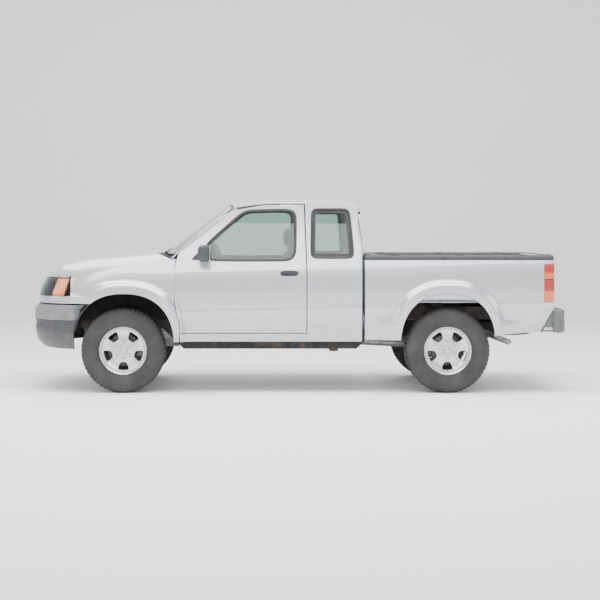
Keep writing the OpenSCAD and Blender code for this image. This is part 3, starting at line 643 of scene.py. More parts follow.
def makeTyre():
    g = Graph("tyreRubber")
    patches = g.noise(16.0, 5.0, 0.6)
    dust = g.ramp(g.noise(6.0, 4.0), 0.35, 0.75)
    return g.surface(Base_Color=g.tint(dust * 0.35, g.tint(patches, (0.012, 0.012, 0.013), (0.034, 0.034, 0.035)),
        (0.085, 0.078, 0.068)),
                     Roughness=0.66 + 0.2 * patches, Normal=g.bump(g.noise(500.0, 3.0) + 0.5 * g.cells(260.0),
                         0.0006, 0.5))


def makeCloth(name, low, high, weave=900.0):
    g = Graph(name)
    one = g.node("ShaderNodeTexWave", {"bands_direction": "X"}, {"Vector": g.place(), "Scale": weave / 6,
        "Distortion": 0.6})
    two = g.node("ShaderNodeTexWave", {"bands_direction": "Z"}, {"Vector": g.place(), "Scale": weave / 6,
        "Distortion": 0.6})
    fuzz = g.noise(700.0, 3.0)
    return g.surface(Base_Color=g.tint(g.ramp(one * two + 0.4 * fuzz, 0.1, 0.9), low, high), Roughness=0.92,
        Sheen_Weight=0.4, Sheen_Roughness=0.5,
                     Normal=g.bump(one + two + fuzz, 0.0009, 0.6))


def makeLens(name, colour, deep, glow=0.0, ribs=180.0, direction="Z"):
    g = Graph(name)
    wave = g.node("ShaderNodeTexWave", {"bands_direction": direction, "wave_profile": "SIN"}, {"Vector": g.place(),
        "Scale": ribs / 6})
    patches = g.noise(30.0, 3.0)
    return g.surface(Base_Color=g.tint(0.35 * wave + 0.3 * patches, colour, deep), Roughness=0.16 + 0.08 * patches,
        Coat_Weight=1.0, Coat_Roughness=0.03,
                     Emission_Color=colour, Emission_Strength=glow, Subsurface_Weight=0.12, Subsurface_Radius=(0.01,
                         0.004, 0.003),
                     Normal=g.bump(wave, 0.0008, 0.35))


print("materials")
paint = makePaint()
seal = makePlastic("sealRubber", (0.012, 0.012, 0.013), (0.028, 0.028, 0.03), 0.5, 700.0, 0.0003)
blackTrim = makePlastic("blackTrim", (0.018, 0.019, 0.021), (0.04, 0.042, 0.045), 0.52, 800.0, 0.0005, 0.7)
charcoal = makePlastic("charcoalTrim", (0.026, 0.027, 0.03), (0.048, 0.05, 0.054), 0.46, 900.0, 0.0004, 0.5)
bumperGrey = makePlastic("bumperGrey", (0.13, 0.135, 0.14), (0.19, 0.195, 0.20), 0.5, 1000.0, 0.0004, 0.8)
stepGrey = makePlastic("stepGrey", (0.085, 0.09, 0.092), (0.12, 0.125, 0.127), 0.5, 800.0, 0.0005, 0.6)
dashPlastic = makePlastic("dashPlastic", (0.075, 0.08, 0.08), (0.115, 0.12, 0.118), 0.66, 520.0, 0.0008)
trimPlastic = makePlastic("trimPlastic", (0.16, 0.165, 0.16), (0.21, 0.215, 0.21), 0.66, 520.0, 0.0007)
liner = makePlastic("linerPlastic", (0.010, 0.010, 0.011), (0.03, 0.028, 0.026), 0.8, 300.0, 0.0010, 0.9)
border = makePlastic("glassBorder", (0.006, 0.006, 0.007), (0.012, 0.012, 0.013), 0.18, 1500.0, 0.0001)
underPaint = makeMetal("chassisPaint", (0.014, 0.014, 0.015), (0.05, 0.048, 0.045), 0.55, 0.2, 9.0, 0.0012, dirt=0.55)
castIron = makeMetal("castIron", (0.10, 0.095, 0.09), (0.20, 0.19, 0.175), 0.55, 0.7, 20.0, 0.0016, dirt=0.7)
castAlloy = makeMetal("castAlloy", (0.34, 0.34, 0.33), (0.50, 0.50, 0.49), 0.5, 0.8, 18.0, 0.0016, dirt=0.35)
steel = makeMetal("bareSteel", (0.26, 0.255, 0.25), (0.42, 0.41, 0.40), 0.38, 0.9, 24.0, 0.0006, dirt=0.6)
discSteel = makeMetal("discSteel", (0.06, 0.058, 0.056), (0.12, 0.117, 0.113), 0.42, 1.0, 60.0, 0.0005, dirt=0.2)
alloy = makeMetal("wheelAlloy", (0.56, 0.565, 0.57), (0.68, 0.685, 0.69), 0.30, 0.82, 26.0, 0.00025, dirt=0.03)
chrome = makeMetal("brightTrim", (0.70, 0.70, 0.71), (0.80, 0.80, 0.81), 0.10, 1.0, 16.0, 0.0001)
mirrorFace = makeMetal("mirrorFace", (0.86, 0.87, 0.88), (0.90, 0.91, 0.92), 0.03, 1.0, 8.0, 0.00002)
tyreRubber = makeTyre()
seatCloth = makeCloth("seatCloth", (0.070, 0.078, 0.074), (0.125, 0.135, 0.128))
carpet = makeCloth("carpet", (0.02, 0.021, 0.021), (0.05, 0.052, 0.05), 500.0)
headCloth = makeCloth("headCloth", (0.34, 0.34, 0.32), (0.44, 0.44, 0.42), 1200.0)
clearGlass = makeGlass("sideGlass", (0.70, 0.80, 0.765), 0.05)
rearGlass = makeGlass("rearGlass", (0.56, 0.66, 0.63), 0.05)
lampCover = makeGlass("lampCover", (0.96, 0.97, 0.97), 0.03)
amber = makeLens("amberLens", (0.72, 0.20, 0.02), (0.42, 0.09, 0.01), 0.05)
redLens = makeLens("redLens", (0.46, 0.022, 0.014), (0.20, 0.006, 0.004), 0.04)
orangeLens = makeLens("orangeLens", (0.80, 0.16, 0.03), (0.50, 0.07, 0.01), 0.06)
whiteLens = makeLens("whiteLens", (0.70, 0.70, 0.69), (0.50, 0.50, 0.50), 0.02)
reflector = makeMetal("lampReflector", (0.80, 0.80, 0.82), (0.88, 0.88, 0.90), 0.08, 1.0, 30.0, 0.0001)
plateBlank = makePlastic("plateBlank", (0.62, 0.62, 0.60), (0.70, 0.70, 0.68), 0.4, 1200.0, 0.0001, 0.3)


# painted body
print("body panels")
outlines = {
    "doorGlass": [(760, 1210), (760, 1348), (1070, 1622), (1140, 1653), (1490, 1660), (1550, 1640), (1566, 1590),
        (1560, 1262), (1510, 1210)],
    "quarterGlass": [(1740, 1230), (2065, 1230), (2092, 1258), (2060, 1640), (2030, 1668), (1745, 1668), (1722,
        1640), (1712, 1258)],
    "backGlass": [(-520, 1290), (520, 1290), (500, 1610), (-500, 1610)],
}
doorHole = evenly(rounded(outlines["doorGlass"], 0.12, 3), 150)
quarterHole = evenly(rounded(outlines["quarterGlass"], 0.12, 3), 150)
backHole = evenly(rounded(outlines["backGlass"], 0.06, 3), 130)


def doorDepth(z):
    return 92 if z < body["belt"] else mix(92, 42, min(1, (z - body["belt"]) / 50))


doorRows = sorted(set(spread(545, 1711, 78)))
for side, word in ((1, "left"), (-1, "right")):
    outer, inner = [], []
    for z in doorRows:
        a, b = doorFront(z), doorRear(z)
        line = [mix(a, b, t) for t in spread(0, 1, 60)]
        outer.append([(s, sideY(s, z), z) for s in line])
        inner.append([(mix(a, b - 12, i / 60), plainY(mix(a, b - 12, i / 60), z) - doorDepth(z), z) for i in range(61)])
    door = plate("door" + word.title(), outer, inner, paint, 3.2, side)
    door = cutAway(door, [prism("cut", doorHole, 480, 900, None, side)])
    keep(door, "door_" + word, "paint", "door_" + word)

    pane = {"shrink": -2, "inset": 14, "thick": 5}
    rim = grown(doorHole, pane["shrink"])
    glassOuter = [[(s, plainY(s, z) - 14, z) for s in [mix(*ends, t) for t in spread(0, 1, 24)]] for z, ends in
                  [(z, (min(p[0] for p in rim) - 5, max(p[0] for p in rim) + 5)) for z in spread(1204, 1668, 30)]]
    glassInner = [[(s, y - 5, z) for s, y, z in row] for row in glassOuter]
    sheet = plate("doorPane" + word.title(), glassOuter, glassInner, clearGlass, 0.5, side)
    outside = prism("cut", [(300, 1000), (2400, 1000), (2400, 1900), (300, 1900)], 400, 950, None, side)
    outside = cutAway(outside, [prism("cut2", rim, 300, 990, None, side)])
    sheet = cutAway(sheet, [outside])
    keep(sheet, "door_" + word, "glass", "door_glass_" + word)

    # black frame round the opening: a broad moulding on the skin and a seal that closes on the glass
    frameStrip = loopStrip("doorFrame" + word.title(), doorHole, lambda s, z, up: (s, plainY(s, z) + up, z),
                           [(-9, -19), (-9, -4), (-6, -1.2), (0, 1.6), (5, 2.2), (15, 2.2), (17, 1.2), (17, -1.5),
                               (2, -1.5), (-2, -19)], seal, side)
    keep(frameStrip, "door_" + word, "trim_black")
    sail = [(612, 1208), (752, 1208), (752, 1352)]
    sail = evenly(rounded(sail, 0.06, 3), 60)
    cover = prism("mirrorSail" + word.title(), sail, 0, 1, blackTrim, 1)
    for v in cover.data.vertices:
        s, z = (axleX - v.co.x) * 1000, v.co.z * 1000
        v.co.y = side * (plainY(s, z) + (5.0 if v.co.y > 0.0005 else -1.0)) / 1000
    if side < 0:
        cover.data.flip_normals()
    keep(cover, "door_" + word, "trim_black")
    inside = loopStrip("doorInnerSeal" + word.title(), doorHole, lambda s, z, up: (s, plainY(s, z) - 42 + up, z),
                       [(-8, 22), (-8, -2), (12, -5), (20, -3), (20, 1), (1, 1), (1, 22)], seal, side)
    keep(inside, "door_" + word, "trim_black")

    # quarter, sill and lock pillar
    stations = [1674, 1690] + spread(1700, 2100, 26) + [2112, 2126, 2142]
    outer, inner = [], []
    for j in range(71):
        rowO, rowI = [], []
        for i, s0 in enumerate(stations):
            roofUnder = body["doorTop"] + 9 - roofFall(s0)
            z = mix(465, roofUnder - 0.3, j / 70)
            if i == 0:
                s = doorRear(z) + 7 + 3 * max(0.0, (z - 1141) / 570)
            elif i == 1:
                s = doorRear(z) + 22
            elif i == len(stations) - 1:
                s = max(s0, quarterRear(z))
            elif i >= len(stations) - 3:
                s = mix(2100, max(2142, quarterRear(z)), (i - (len(stations) - 4)) / 3)
            else:
                s = s0
            rowO.append((s, sideY(s, z), z))
            rowI.append((s, plainY(s, z) - 85, z))
        outer.append(rowO)
        inner.append(rowI)
    quarter = plate("quarter" + word.title(), outer, inner, paint, 3.2, side)
    quarter = cutAway(quarter, [prism("cut", quarterHole, 480, 900, None, side)])
    sillRows = [465, 470, 485, 500, 515, 530, 538]
    sill = plate("sill" + word.title(), [[(s, sideY(s, z), z) for s in spread(doorFront(465) + 2, 1674,
        40)] for z in sillRows],
                 [[(s, plainY(s, z) - 150, z) for s in spread(doorFront(465) + 2, 1674, 40)] for z in sillRows],
                     paint, 3.2, side)
    pillarRows = [1222, 1250, 1290, 1345, 1400, 1460, 1520, 1580, 1630, 1652]

    def pillarAt(z):
        s = doorFront(max(z, 1281)) - (1281 - z if z < 1281 else 0) * 0.9 - 10.5
        y = plainY(s, z)
        return [(s - 18, y - 4, z), (s - 9, y - 0.4, z), (s, y, z)], [(s - 12, y - 66, z), (s - 6, y - 63, z), (s,
            y - 60, z)]

    post = plate("screenPost" + word.title(), [pillarAt(z)[0] for z in pillarRows],
        [pillarAt(z)[1] for z in pillarRows], paint, 2.5, side)
    hingePost = softBox("hingePost" + word.title(), *[Vector(p) for p in (
        (axleX - 0.575, min(side * 0.6895, side * 0.733), 0.5), (axleX - 0.5, max(side * 0.6895, side * 0.733),
            1.15))], 0.004, paint)
    for piece in (quarter, sill, post, hingePost):
        keep(piece, "truck", "paint", "cab_sides")

    paneQ = evenly(grown(quarterHole, -2), 150)
    rowsQ = [[(s, plainY(s, z) - 14, z) for s in spread(1700, 2100, 20)] for z in spread(1222, 1676, 24)]
    sheet = plate("quarterPane" + word.title(), rowsQ, [[(s, y - 5, z) for s, y, z in row] for row in rowsQ],
        clearGlass, 0.5, side)
    outside = prism("cut", [(1500, 1000), (2400, 1000), (2400, 1900), (1500, 1900)], 400, 950, None, side)
    outside = cutAway(outside, [prism("cut2", paneQ, 300, 990, None, side)])
    keep(cutAway(sheet, [outside]), "truck", "glass", "cab_glass")
    ring = loopStrip("quarterSeal" + word.title(), quarterHole, lambda s, z, up: (s, plainY(s, z) + up, z),
                     [(-34, -12.5), (-34, -11), (-7, -10), (-5, -1.0), (0, 1.6), (6, 2.0), (13, 1.2), (13, -1.5),
                         (-3, -1.5), (-3, -13.6)], seal, side)
    keep(ring, "truck", "trim_black")

    # door handle and lock
    cup = loopStrip("handleCup" + word.title(),
        evenly(rounded([(1430, 1064), (1592, 1064), (1592, 1110), (1430, 1110)], 0.18, 3), 80),
                    lambda s, z, up: (s, sideY(s, z) + up, z), [(-22, 0.4), (-4, 2.2), (0, 2.4), (2, 0.5), (2, -1),
                        (-22, -1)], blackTrim, side)
    grip = prism("handleGrip" + word.title(),
        evenly(rounded([(1440, 1080), (1584, 1082), (1584, 1104), (1440, 1104)], 0.25, 3), 60), 0, 1, blackTrim, 1)
    for v in grip.data.vertices:
        s, z = (axleX - v.co.x) * 1000, v.co.z * 1000
        bow = 15 * (1 - ((s - 1512) / 76) ** 4)
        v.co.y = side * (sideY(s, z) + (bow if v.co.y > 0.0005 else bow - 7)) / 1000
    if side < 0:
        grip.data.flip_normals()
    lock = lathe("doorLock" + word.title(), [(0, 0), (11, 0), (11, 2.2), (9, 3.2), (5, 3.2), (4.5, 2.2), (0, 2.2)],
        chrome, 40,
                 point(1602 + 25, sideY(1627, 1094) - 0.4, 1094, side), closed=False)
    if side < 0:
        for v in lock.data.vertices:
            v.co.y = 2 * point(0, sideY(1627, 1094) - 0.4, 0, side)[1] - v.co.y
        lock.data.flip_normals()
    for piece in (cup, grip):
        keep(piece, "door_" + word, "trim_black")
    keep(lock, "door_" + word, "grille")

    # front fender with its flared arch
    low = [(-480, 811)] + archLine(frontArch, 811, 465, 90) + [(doorFront(465) - 7, 465)]
    n = len(low) - 1
    shares = [0, 0.012, 0.03, 0.05, 0.075] + spread(0.1, 1, 34)

    def fenderAt(i, k):
        along = i / n
        s = mix(-480, doorFront(1216) - 7, along)
        z = mix(low[i][1], edgeZ(s), k)
        return (doorFront(z) - 7 if i == n else mix(low[i][0], s, k), z)

    outer = [[(*(lambda p: (p[0], sideY(*p)))(fenderAt(i, k)), fenderAt(i,
        k)[1]) for i in range(n + 1)] for k in shares]
    inner = [[(p[0], plainY(p[0], p[2]) - 22, p[2]) for p in row] for row in outer]
    fender = plate("fender" + word.title(), outer, inner, paint, 3.2, side)
    keep(fender, "truck", "paint", "front_fenders")
    lip = tube("fenderLip" + word.title(), [point(s, plainY(s, z) - 6, z + 1, side) for s,
        z in archLine(frontArch, 560, 470, 60)], 4.5, seal, 10)
    keep(lip, "truck", "trim_black")

    # bed side
    low = [(2198, 478), (2300, 478), (2420, 478)] + archLine(rearArch, 478, 521, 90) + [(3480, 530), (3600, 541),
        (3750, 551), (3912, 561)]
    n = len(low) - 1
    outer = []
    for k in shares:
        row = []
        for i in range(n + 1):
            s, z = mix(low[i][0], mix(2198, 3912, i / n), k), mix(low[i][1], 1216, k)
            row.append((s, sideY(s, z), z))
        outer.append(row)
    inner = [[(p[0], plainY(p[0], p[2]) - 22, p[2]) for p in row] for row in outer]
    bedSide = plate("bedSide" + word.title(), outer, inner, paint, 3.2, side)
    bedSide = cutAway(bedSide, [prism("cut", [(3821.7, 828.7), (3930, 828.7), (3930, 1172.3), (3821.7, 1172.3)],
        600, 960, None, side)])
    keep(bedSide, "truck", "paint", "bed_sides")
    bits = []
    for a, b in (((3822, 705, 571), (3912, 760, 1216)), ((3822, 755, 571), (3912, 816, 828.7)),
        ((3822, 755, 1172.3), (3912, 816, 1216)), ((2198, 700, 508), (2218, 812, 1216))):
        lowP, highP = point(*a, side), point(*b, side)
        bits.append(softBox("bedPost", tuple(map(min, lowP, highP)), tuple(map(max, lowP, highP)), 0.003, paint))
    keep(joined("bedPosts" + word.title(), bits), "truck", "paint")
    lip = tube("bedLip" + word.title(), [point(s, plainY(s, z) - 6, z + 1, side) for s, z in archLine(rearArch, 500,
        540, 60)], 4.5, seal, 10)
    keep(lip, "truck", "trim_black")

# roof
us = spread(-1, 1, 48)
roofHalf = plainY(1600, 1711) - 1
roofStations = lambda u: [mix(screenPoint(u, 1)[0] + 12, 2142, t) for t in spread(0, 1, 60)]
outer = [[(roofStations(u)[i], u * roofHalf, roofTop(roofStations(u)[i], u)) for u in us] for i in range(61)]
roof = plate("roofPanel", outer, [[(s, y, z - 15) for s, y, z in row] for row in outer], paint, 3)
keep(roof, "truck", "paint", "roof")
lining = plate("headLining", [[(s, y * 0.93, roofTop(s, y / roofHalf) - 40) for s, y, z in row] for row in outer[2:58]],
               [[(s, y * 0.93, roofTop(s, y / roofHalf) - 16) for s, y, z in row] for row in outer[2:58]], headCloth, 3)
keep(lining, "truck", "dash")
for side, word in ((1, "Left"), (-1, "Right")):
    rail = tube("roofDitch" + word, [point(s, side * 0 + (abs(side) * 0.93) * roofHalf, roofTop(s, 0.93) + 0.5,
        side) for s in spread(1010, 2120, 40)], 7, seal, 12, flat=0.35)
    keep(rail, "truck", "trim_black")

# hood
outer = [[hoodPoint(u, v) for u in spread(-1, 1, 72)] for v in [0, 0.004, 0.01, 0.02, 0.035, 0.055,
    0.08] + spread(0.11, 1, 46)]
inner = [[(s + (4 if i == 0 else 0), y, z - (4 if i == 0 else 6 if i == 1 else 12 if i == 2 else 22)) for s, y,
    z in row] for i, row in enumerate(outer)]
hood = plate("hoodPanel", outer, inner, paint, 2.5)
keep(hood, "hood", "paint", "hood")

# nose strip under the lamps
noseRows = spread(811, 876, 10)
phis = spread(-math.radians(70), math.radians(70), 90)
outer = [[nosePoint(p, z, 0, 0) for p in phis] for z in noseRows]
nose = plate("nosePanel", outer, [[nosePoint(p, z, 22, 0) for p in phis] for z in noseRows], paint, 2.5)
nose = cutAway(nose, [softBox("cut", point(0, 1000, 0, -1), (axleX + 0.4803, 1.0, 2.0), 0.0001, None)])
keep(nose, "truck", "paint", "nose_panel")

# cab's back wall
def backHalf(z):
    return plainY(body["cabRear"] - 60, z) - 85 - 2.3


zs = spread(565, 1660, 60)
outer = [[(cabBack(u * backHalf(z), z, backHalf(z)), u * backHalf(z), z) for u in spread(-1, 1, 60)] for z in zs]
wall = plate("cabBackWall", outer, [[(s - 40, y, z) for s, y, z in row] for row in outer], paint, 3)
cutter = prism("cut", [(0, 0), (1, 0), (1, 1), (0, 1)], 0, 1, None)
bm = bmesh.new()
near = [bm.verts.new((axleX - 2.0, y / 1000, z / 1000)) for y, z in backHole]
far = [bm.verts.new((axleX - 2.4, y / 1000, z / 1000)) for y, z in backHole]
bm.faces.new(near)
bm.faces.new(list(reversed(far)))
for i in range(len(near)):
    bm.faces.new((near[i], far[i], far[(i + 1) % len(near)], near[(i + 1) % len(near)]))
bmesh.ops.recalc_face_normals(bm, faces=bm.faces)
bm.to_mesh(cutter.data)
bm.free()
wall = cutAway(wall, [cutter])
keep(wall, "truck", "paint", "cab_back")


# glass over the cab's front and back
print("glass and seals")
us = spread(-1, 1, 60)
vs = spread(0.01, 0.99, 40)
screenOuter = [[screenPoint(u * 0.985, v) for u in us] for v in vs]
screen = plate("windshieldPane", screenOuter, [[screenPoint(u * 0.985, v, 8) for u in us] for v in vs], clearGlass, 0.6)
keep(screen, "truck", "glass", "windshield")


# a dark border on the pane, as a closed strip between two outlines given in the pane's own measures
def borderStrip(name, outline, inner, place, thick, material):
    n = len(outline)
    verts = []
    for loop, depth in ((outline, 0), (inner, 0), (inner, thick), (outline, thick)):
        verts += [point(*place(u, v, depth)) for u, v in loop]
    faces = []
    for k in range(4):
        m = (k + 1) % 4
        for i in range(n):
            j = (i + 1) % n
            faces.append((k * n + i, k * n + j, m * n + j, m * n + i))
    return fromLists(name, verts, faces, material, 50)


def edgeLoop(halfU, lowV, highV, n=40):
    loop = [(mix(-halfU, halfU, i / n), lowV) for i in range(n)] + [(halfU, mix(lowV, highV, i / n)) for i in range(n)]
    return loop + [(mix(halfU, -halfU, i / n), highV) for i in range(n)] + [(-halfU, mix(highV, lowV,
        i / n)) for i in range(n)]


frit = borderStrip("windshieldBorder", edgeLoop(0.986, 0.008, 0.992), edgeLoop(0.925, 0.10, 0.94), lambda u, v,
    d: screenPoint(u, v, d - 1.4), 1.0, border)
keep(frit, "truck", "trim_black")
moulding = tube("windshieldMoulding", [point(*screenPoint(u, v, -1)) for u, v in edgeLoop(0.99, 0.006, 0.994)], 6.5,
    seal, 12, closed=True, flat=0.7)
keep(moulding, "truck", "trim_black")

zs = spread(1292, 1608, 24)
backRows = [[(cabBack(u * (mix(520, 500, (z - 1290) / 320) - 1), z, 690) - 22,
    u * (mix(520, 500, (z - 1290) / 320) - 1), z) for u in spread(-1, 1, 40)] for z in zs]
backPane = plate("backPane", backRows, [[(s - 5, y, z) for s, y, z in row] for row in backRows], rearGlass, 0.5)
keep(backPane, "truck", "glass")
n = len(backHole)
section = [(-16, -30), (-16, -20), (-4, -14), (0, 1.5), (10, 2.5), (17, 1.0), (17, -1), (2, -2), (-2, -30)]
rings = [grown(backHole, a) for a, _ in section]
verts = [(axleX - (cabBack(rings[k][i][0], rings[k][i][1], 690) + section[k][1]) / 1000, rings[k][i][0] / 1000,
    rings[k][i][1] / 1000)
         for i in range(n) for k in range(len(section))]
faces = [(i * len(section) + k, ((i + 1) % n) * len(section) + k,
    ((i + 1) % n) * len(section) + (k + 1) % len(section), i * len(section) + (k + 1) % len(section))
         for i in range(n) for k in range(len(section))]
keep(fromLists("backSeal", verts, faces, seal, 50), "truck", "trim_black")
divider = [softBox("backDivider", (axleX - 2.196 + 0.0, y / 1000 - 0.011, 1.293), (axleX - 2.172, y / 1000 + 0.011,
    1.606), 0.004, seal,
                   taper=lambda x, y, z: (x + 0.13 * max(0, z - 1.282) * 0.99, y, z)) for y in (-170, 170)]
keep(joined("backDividers", divider), "truck", "trim_black")

# stop lamp above the back window
lampCase = softBox("highLampCase", (axleX - 2.2, -0.155, 1.63), (axleX - 2.12, 0.155, 1.655), 0.006, blackTrim)
lampFace = softBox("highLampLens", (axleX - 2.204, -0.145, 1.634), (axleX - 2.19, 0.145, 1.651), 0.003, redLens)
keep(lampCase, "truck", "trim_black")
keep(lampFace, "truck", "tail_lamp")

# cowl with its slats, wipers
print("cowl")


def cowlPoint(u, v, drop=0):
    a = hoodRear(u) + 8
    p = screenPoint(u, 0)
    return (mix(a, p[0] + 16, v), u * (752 - 14), mix(shoulderZ(a) + (hoodLine(a) - shoulderZ(a)) * (1 - u * u) - 6,
        p[2] - 7, v) - drop)


us = spread(-1, 1, 60)
cowl = plate("cowlPanel", [[cowlPoint(u, v) for u in us] for v in spread(0, 1, 10)],
    [[cowlPoint(u, v, 18) for u in us] for v in spread(0, 1, 10)], blackTrim, 2)
keep(cowl, "truck", "trim_black", "cowl")
beam = softBox("cowlBeam", (axleX - 0.446, -0.8, 1.10), (axleX - 0.426, 0.8, 1.14), 0.003, underPaint)
keep(beam, "truck", "chassis_black")
for side, word in ((1, "Left"), (-1, "Right")):
    patch = plate("cowlEnd" + word, [[(s, y, mix(1205, 1247, (s - 448) / 36) - 2) for y in (738, 752, 766,
        780)] for s in (449, 460, 472, 484)],
                  [[(s, y, mix(1205, 1247, (s - 448) / 36) - 14) for y in (738, 752, 766, 780)] for s in (449, 460,
                      472, 484)], blackTrim, 2, side)
    keep(patch, "truck", "trim_black")


# a tree that sets copies of one block along a line of edges
def alongTree():
    tree = bpy.data.node_groups.new("setAlongLine", "GeometryNodeTree")
    face = tree.interface
    face.new_socket("Geometry", in_out="INPUT", socket_type="NodeSocketGeometry")
    face.new_socket("Block", in_out="INPUT", socket_type="NodeSocketObject")
    face.new_socket("Count", in_out="INPUT", socket_type="NodeSocketInt")
    face.new_socket("Size Jitter", in_out="INPUT", socket_type="NodeSocketFloat")
    face.new_socket("Seed", in_out="INPUT", socket_type="NodeSocketInt")
    face.new_socket("Finish", in_out="INPUT", socket_type="NodeSocketMaterial")
    face.new_socket("Geometry", in_out="OUTPUT", socket_type="NodeSocketGeometry")
    new, link = tree.nodes.new, tree.links.new
    start, end = new("NodeGroupInput"), new("NodeGroupOutput")
    curve, even, block = new("GeometryNodeMeshToCurve"), new("GeometryNodeResampleCurve"), new("GeometryNodeObjectInfo")
    place, real, finish = new("GeometryNodeInstanceOnPoints"), new("GeometryNodeRealizeInstances"), new("GeometryNodeSetMaterial")
    tangent, normal, align, alignTwo, chance = (new("GeometryNodeInputTangent"), new("GeometryNodeInputNormal"),
        new("FunctionNodeAlignRotationToVector"),
                                                new("FunctionNodeAlignRotationToVector"),
                                                    new("FunctionNodeRandomValue"))
    chance.data_type = "FLOAT"
    low, high = new("ShaderNodeMath"), new("ShaderNodeMath")
    low.operation, high.operation = "SUBTRACT", "ADD"
    low.inputs[0].default_value = high.inputs[0].default_value = 1.0
    link(start.outputs["Size Jitter"], low.inputs[1])
    link(start.outputs["Size Jitter"], high.inputs[1])
    link(low.outputs[0], chance.inputs[2])
    link(high.outputs[0], chance.inputs[3])
    link(start.outputs["Seed"], chance.inputs["Seed"])
    align.axis, alignTwo.axis, alignTwo.pivot_axis = "X", "Z", "X"
    link(start.outputs["Geometry"], curve.inputs["Mesh"])
    link(curve.outputs["Curve"], even.inputs["Curve"])
    link(start.outputs["Count"], even.inputs["Count"])
    link(start.outputs["Block"], block.inputs["Object"])
    link(even.outputs["Curve"], place.inputs["Points"])
    link(block.outputs["Geometry"], place.inputs["Instance"])
    link(tangent.outputs[0], align.inputs["Vector"])
    link(align.outputs[0], alignTwo.inputs["Rotation"])
    link(alignTwo.outputs[0], place.inputs["Rotation"])
    link(chance.outputs[1], place.inputs["Scale"])
    link(place.outputs["Instances"], real.inputs["Geometry"])
    link(real.outputs["Geometry"], finish.inputs["Geometry"])
    link(start.outputs["Finish"], finish.inputs["Material"])
    link(finish.outputs["Geometry"], end.inputs[0])
    return tree


# a tree that sets copies of one block round the row frame's Y axis, facing outwards
def aroundTree():
    tree = bpy.data.node_groups.new("setRoundAxle", "GeometryNodeTree")
    face = tree.interface
    face.new_socket("Geometry", in_out="INPUT", socket_type="NodeSocketGeometry")
    face.new_socket("Block", in_out="INPUT", socket_type="NodeSocketObject")
    face.new_socket("Count", in_out="INPUT", socket_type="NodeSocketInt")
    face.new_socket("Radius", in_out="INPUT", socket_type="NodeSocketFloat")
    face.new_socket("Finish", in_out="INPUT", socket_type="NodeSocketMaterial")
    face.new_socket("Geometry", in_out="OUTPUT", socket_type="NodeSocketGeometry")
    new, link = tree.nodes.new, tree.links.new
    start, end = new("NodeGroupInput"), new("NodeGroupOutput")
    circle, block, place, real, finish, align, spot = (new("GeometryNodeMeshCircle"), new("GeometryNodeObjectInfo"),
        new("GeometryNodeInstanceOnPoints"),
                                                       new("GeometryNodeRealizeInstances"),
                                                           new("GeometryNodeSetMaterial"),
                                                       new("FunctionNodeAlignRotationToVector"),
                                                           new("GeometryNodeInputPosition"))
    align.axis = "X"
    link(start.outputs["Count"], circle.inputs["Vertices"])
    link(start.outputs["Radius"], circle.inputs["Radius"])
    link(circle.outputs[0], place.inputs["Points"])
    link(start.outputs["Block"], block.inputs["Object"])
    link(block.outputs["Geometry"], place.inputs["Instance"])
    link(spot.outputs[0], align.inputs["Vector"])
    link(align.outputs[0], place.inputs["Rotation"])
    link(place.outputs["Instances"], real.inputs["Geometry"])
    link(real.outputs["Geometry"], finish.inputs["Geometry"])
    link(start.outputs["Finish"], finish.inputs["Material"])
    link(finish.outputs["Geometry"], end.inputs[0])
    return tree


setAlong, setAround = alongTree(), aroundTree()


# runs a tree on a base mesh and keeps the plain mesh; move puts it in place afterwards
def grow(name, tree, values, baseMesh=None, move=None):
    base = bpy.data.objects.new(name, baseMesh or bpy.data.meshes.new(name))
    bpy.context.scene.collection.objects.link(base)
    mod = base.modifiers.new("grow", "NODES")
    mod.node_group = tree
    ids = {item.name: item.identifier for item in tree.interface.items_tree if item.item_type == "SOCKET" and item.in_out == "INPUT"}
    for key, value in values.items():
        mod[ids[key]] = value
    bpy.context.view_layer.update()
    mesh = bpy.data.meshes.new_from_object(base.evaluated_get(bpy.context.evaluated_depsgraph_get()))
    base.modifiers.clear()
    base.data = mesh
    if move is not None:
        mesh.transform(move)
    mesh.shade_smooth()
    mesh.set_sharp_from_angle(angle=math.radians(35))
    return base


def lineMesh(points):
    mesh = bpy.data.meshes.new("line")
    mesh.from_pydata([tuple(p) for p in points], [(i, i + 1) for i in range(len(points) - 1)], [])
    return mesh


for side, word in ((1, "Left"), (-1, "Right")):
    slat = softBox("slat", (-0.009, -0.018, -0.003), (-0.0035, 0.018, 0.003), 0.0012, seal)
    slats = grow("cowlSlats" + word, setAlong, {"Block": slat, "Count": 34, "Size Jitter": 0.0, "Seed": 3,
        "Finish": seal},
                 lineMesh([point(*cowlPoint(side * u, 0.5, -1.5)) for u in spread(0.12, 0.82, 24)]))
    bpy.data.objects.remove(slat)
    keep(slats, "truck", "trim_black")

for y0, word in ((330, "Left"), (-230, "Right")):
    base = Vector(point(*screenPoint(y0 / 700, 0.03, -26)))
    u0 = y0 / 700
    path = [Vector(point(*screenPoint(u0 - 0.56 * t, 0.035 + 0.05 * t, -mix(26, 12, smooth(t))))) for t in spread(0,
        1, 14)]
    arm = tube("wiperArm" + word, path, 5.5, blackTrim, 10, flat=0.6)
    blade = tube("wiperBlade" + word, [Vector(point(*screenPoint(u0 - 0.56 - 0.33 + 0.66 * t, 0.085 - 0.004 * t,
        -6))) for t in spread(0, 1, 16)], 4.5, seal, 10)
    cap = softBox("wiperCap" + word, tuple(base - Vector((0.016, 0.016, 0.03))),
        tuple(base + Vector((0.016, 0.016, 0.008))), 0.006, blackTrim)
    keep(joined("wiper" + word, [arm, blade, cap]), "truck", "trim_black")

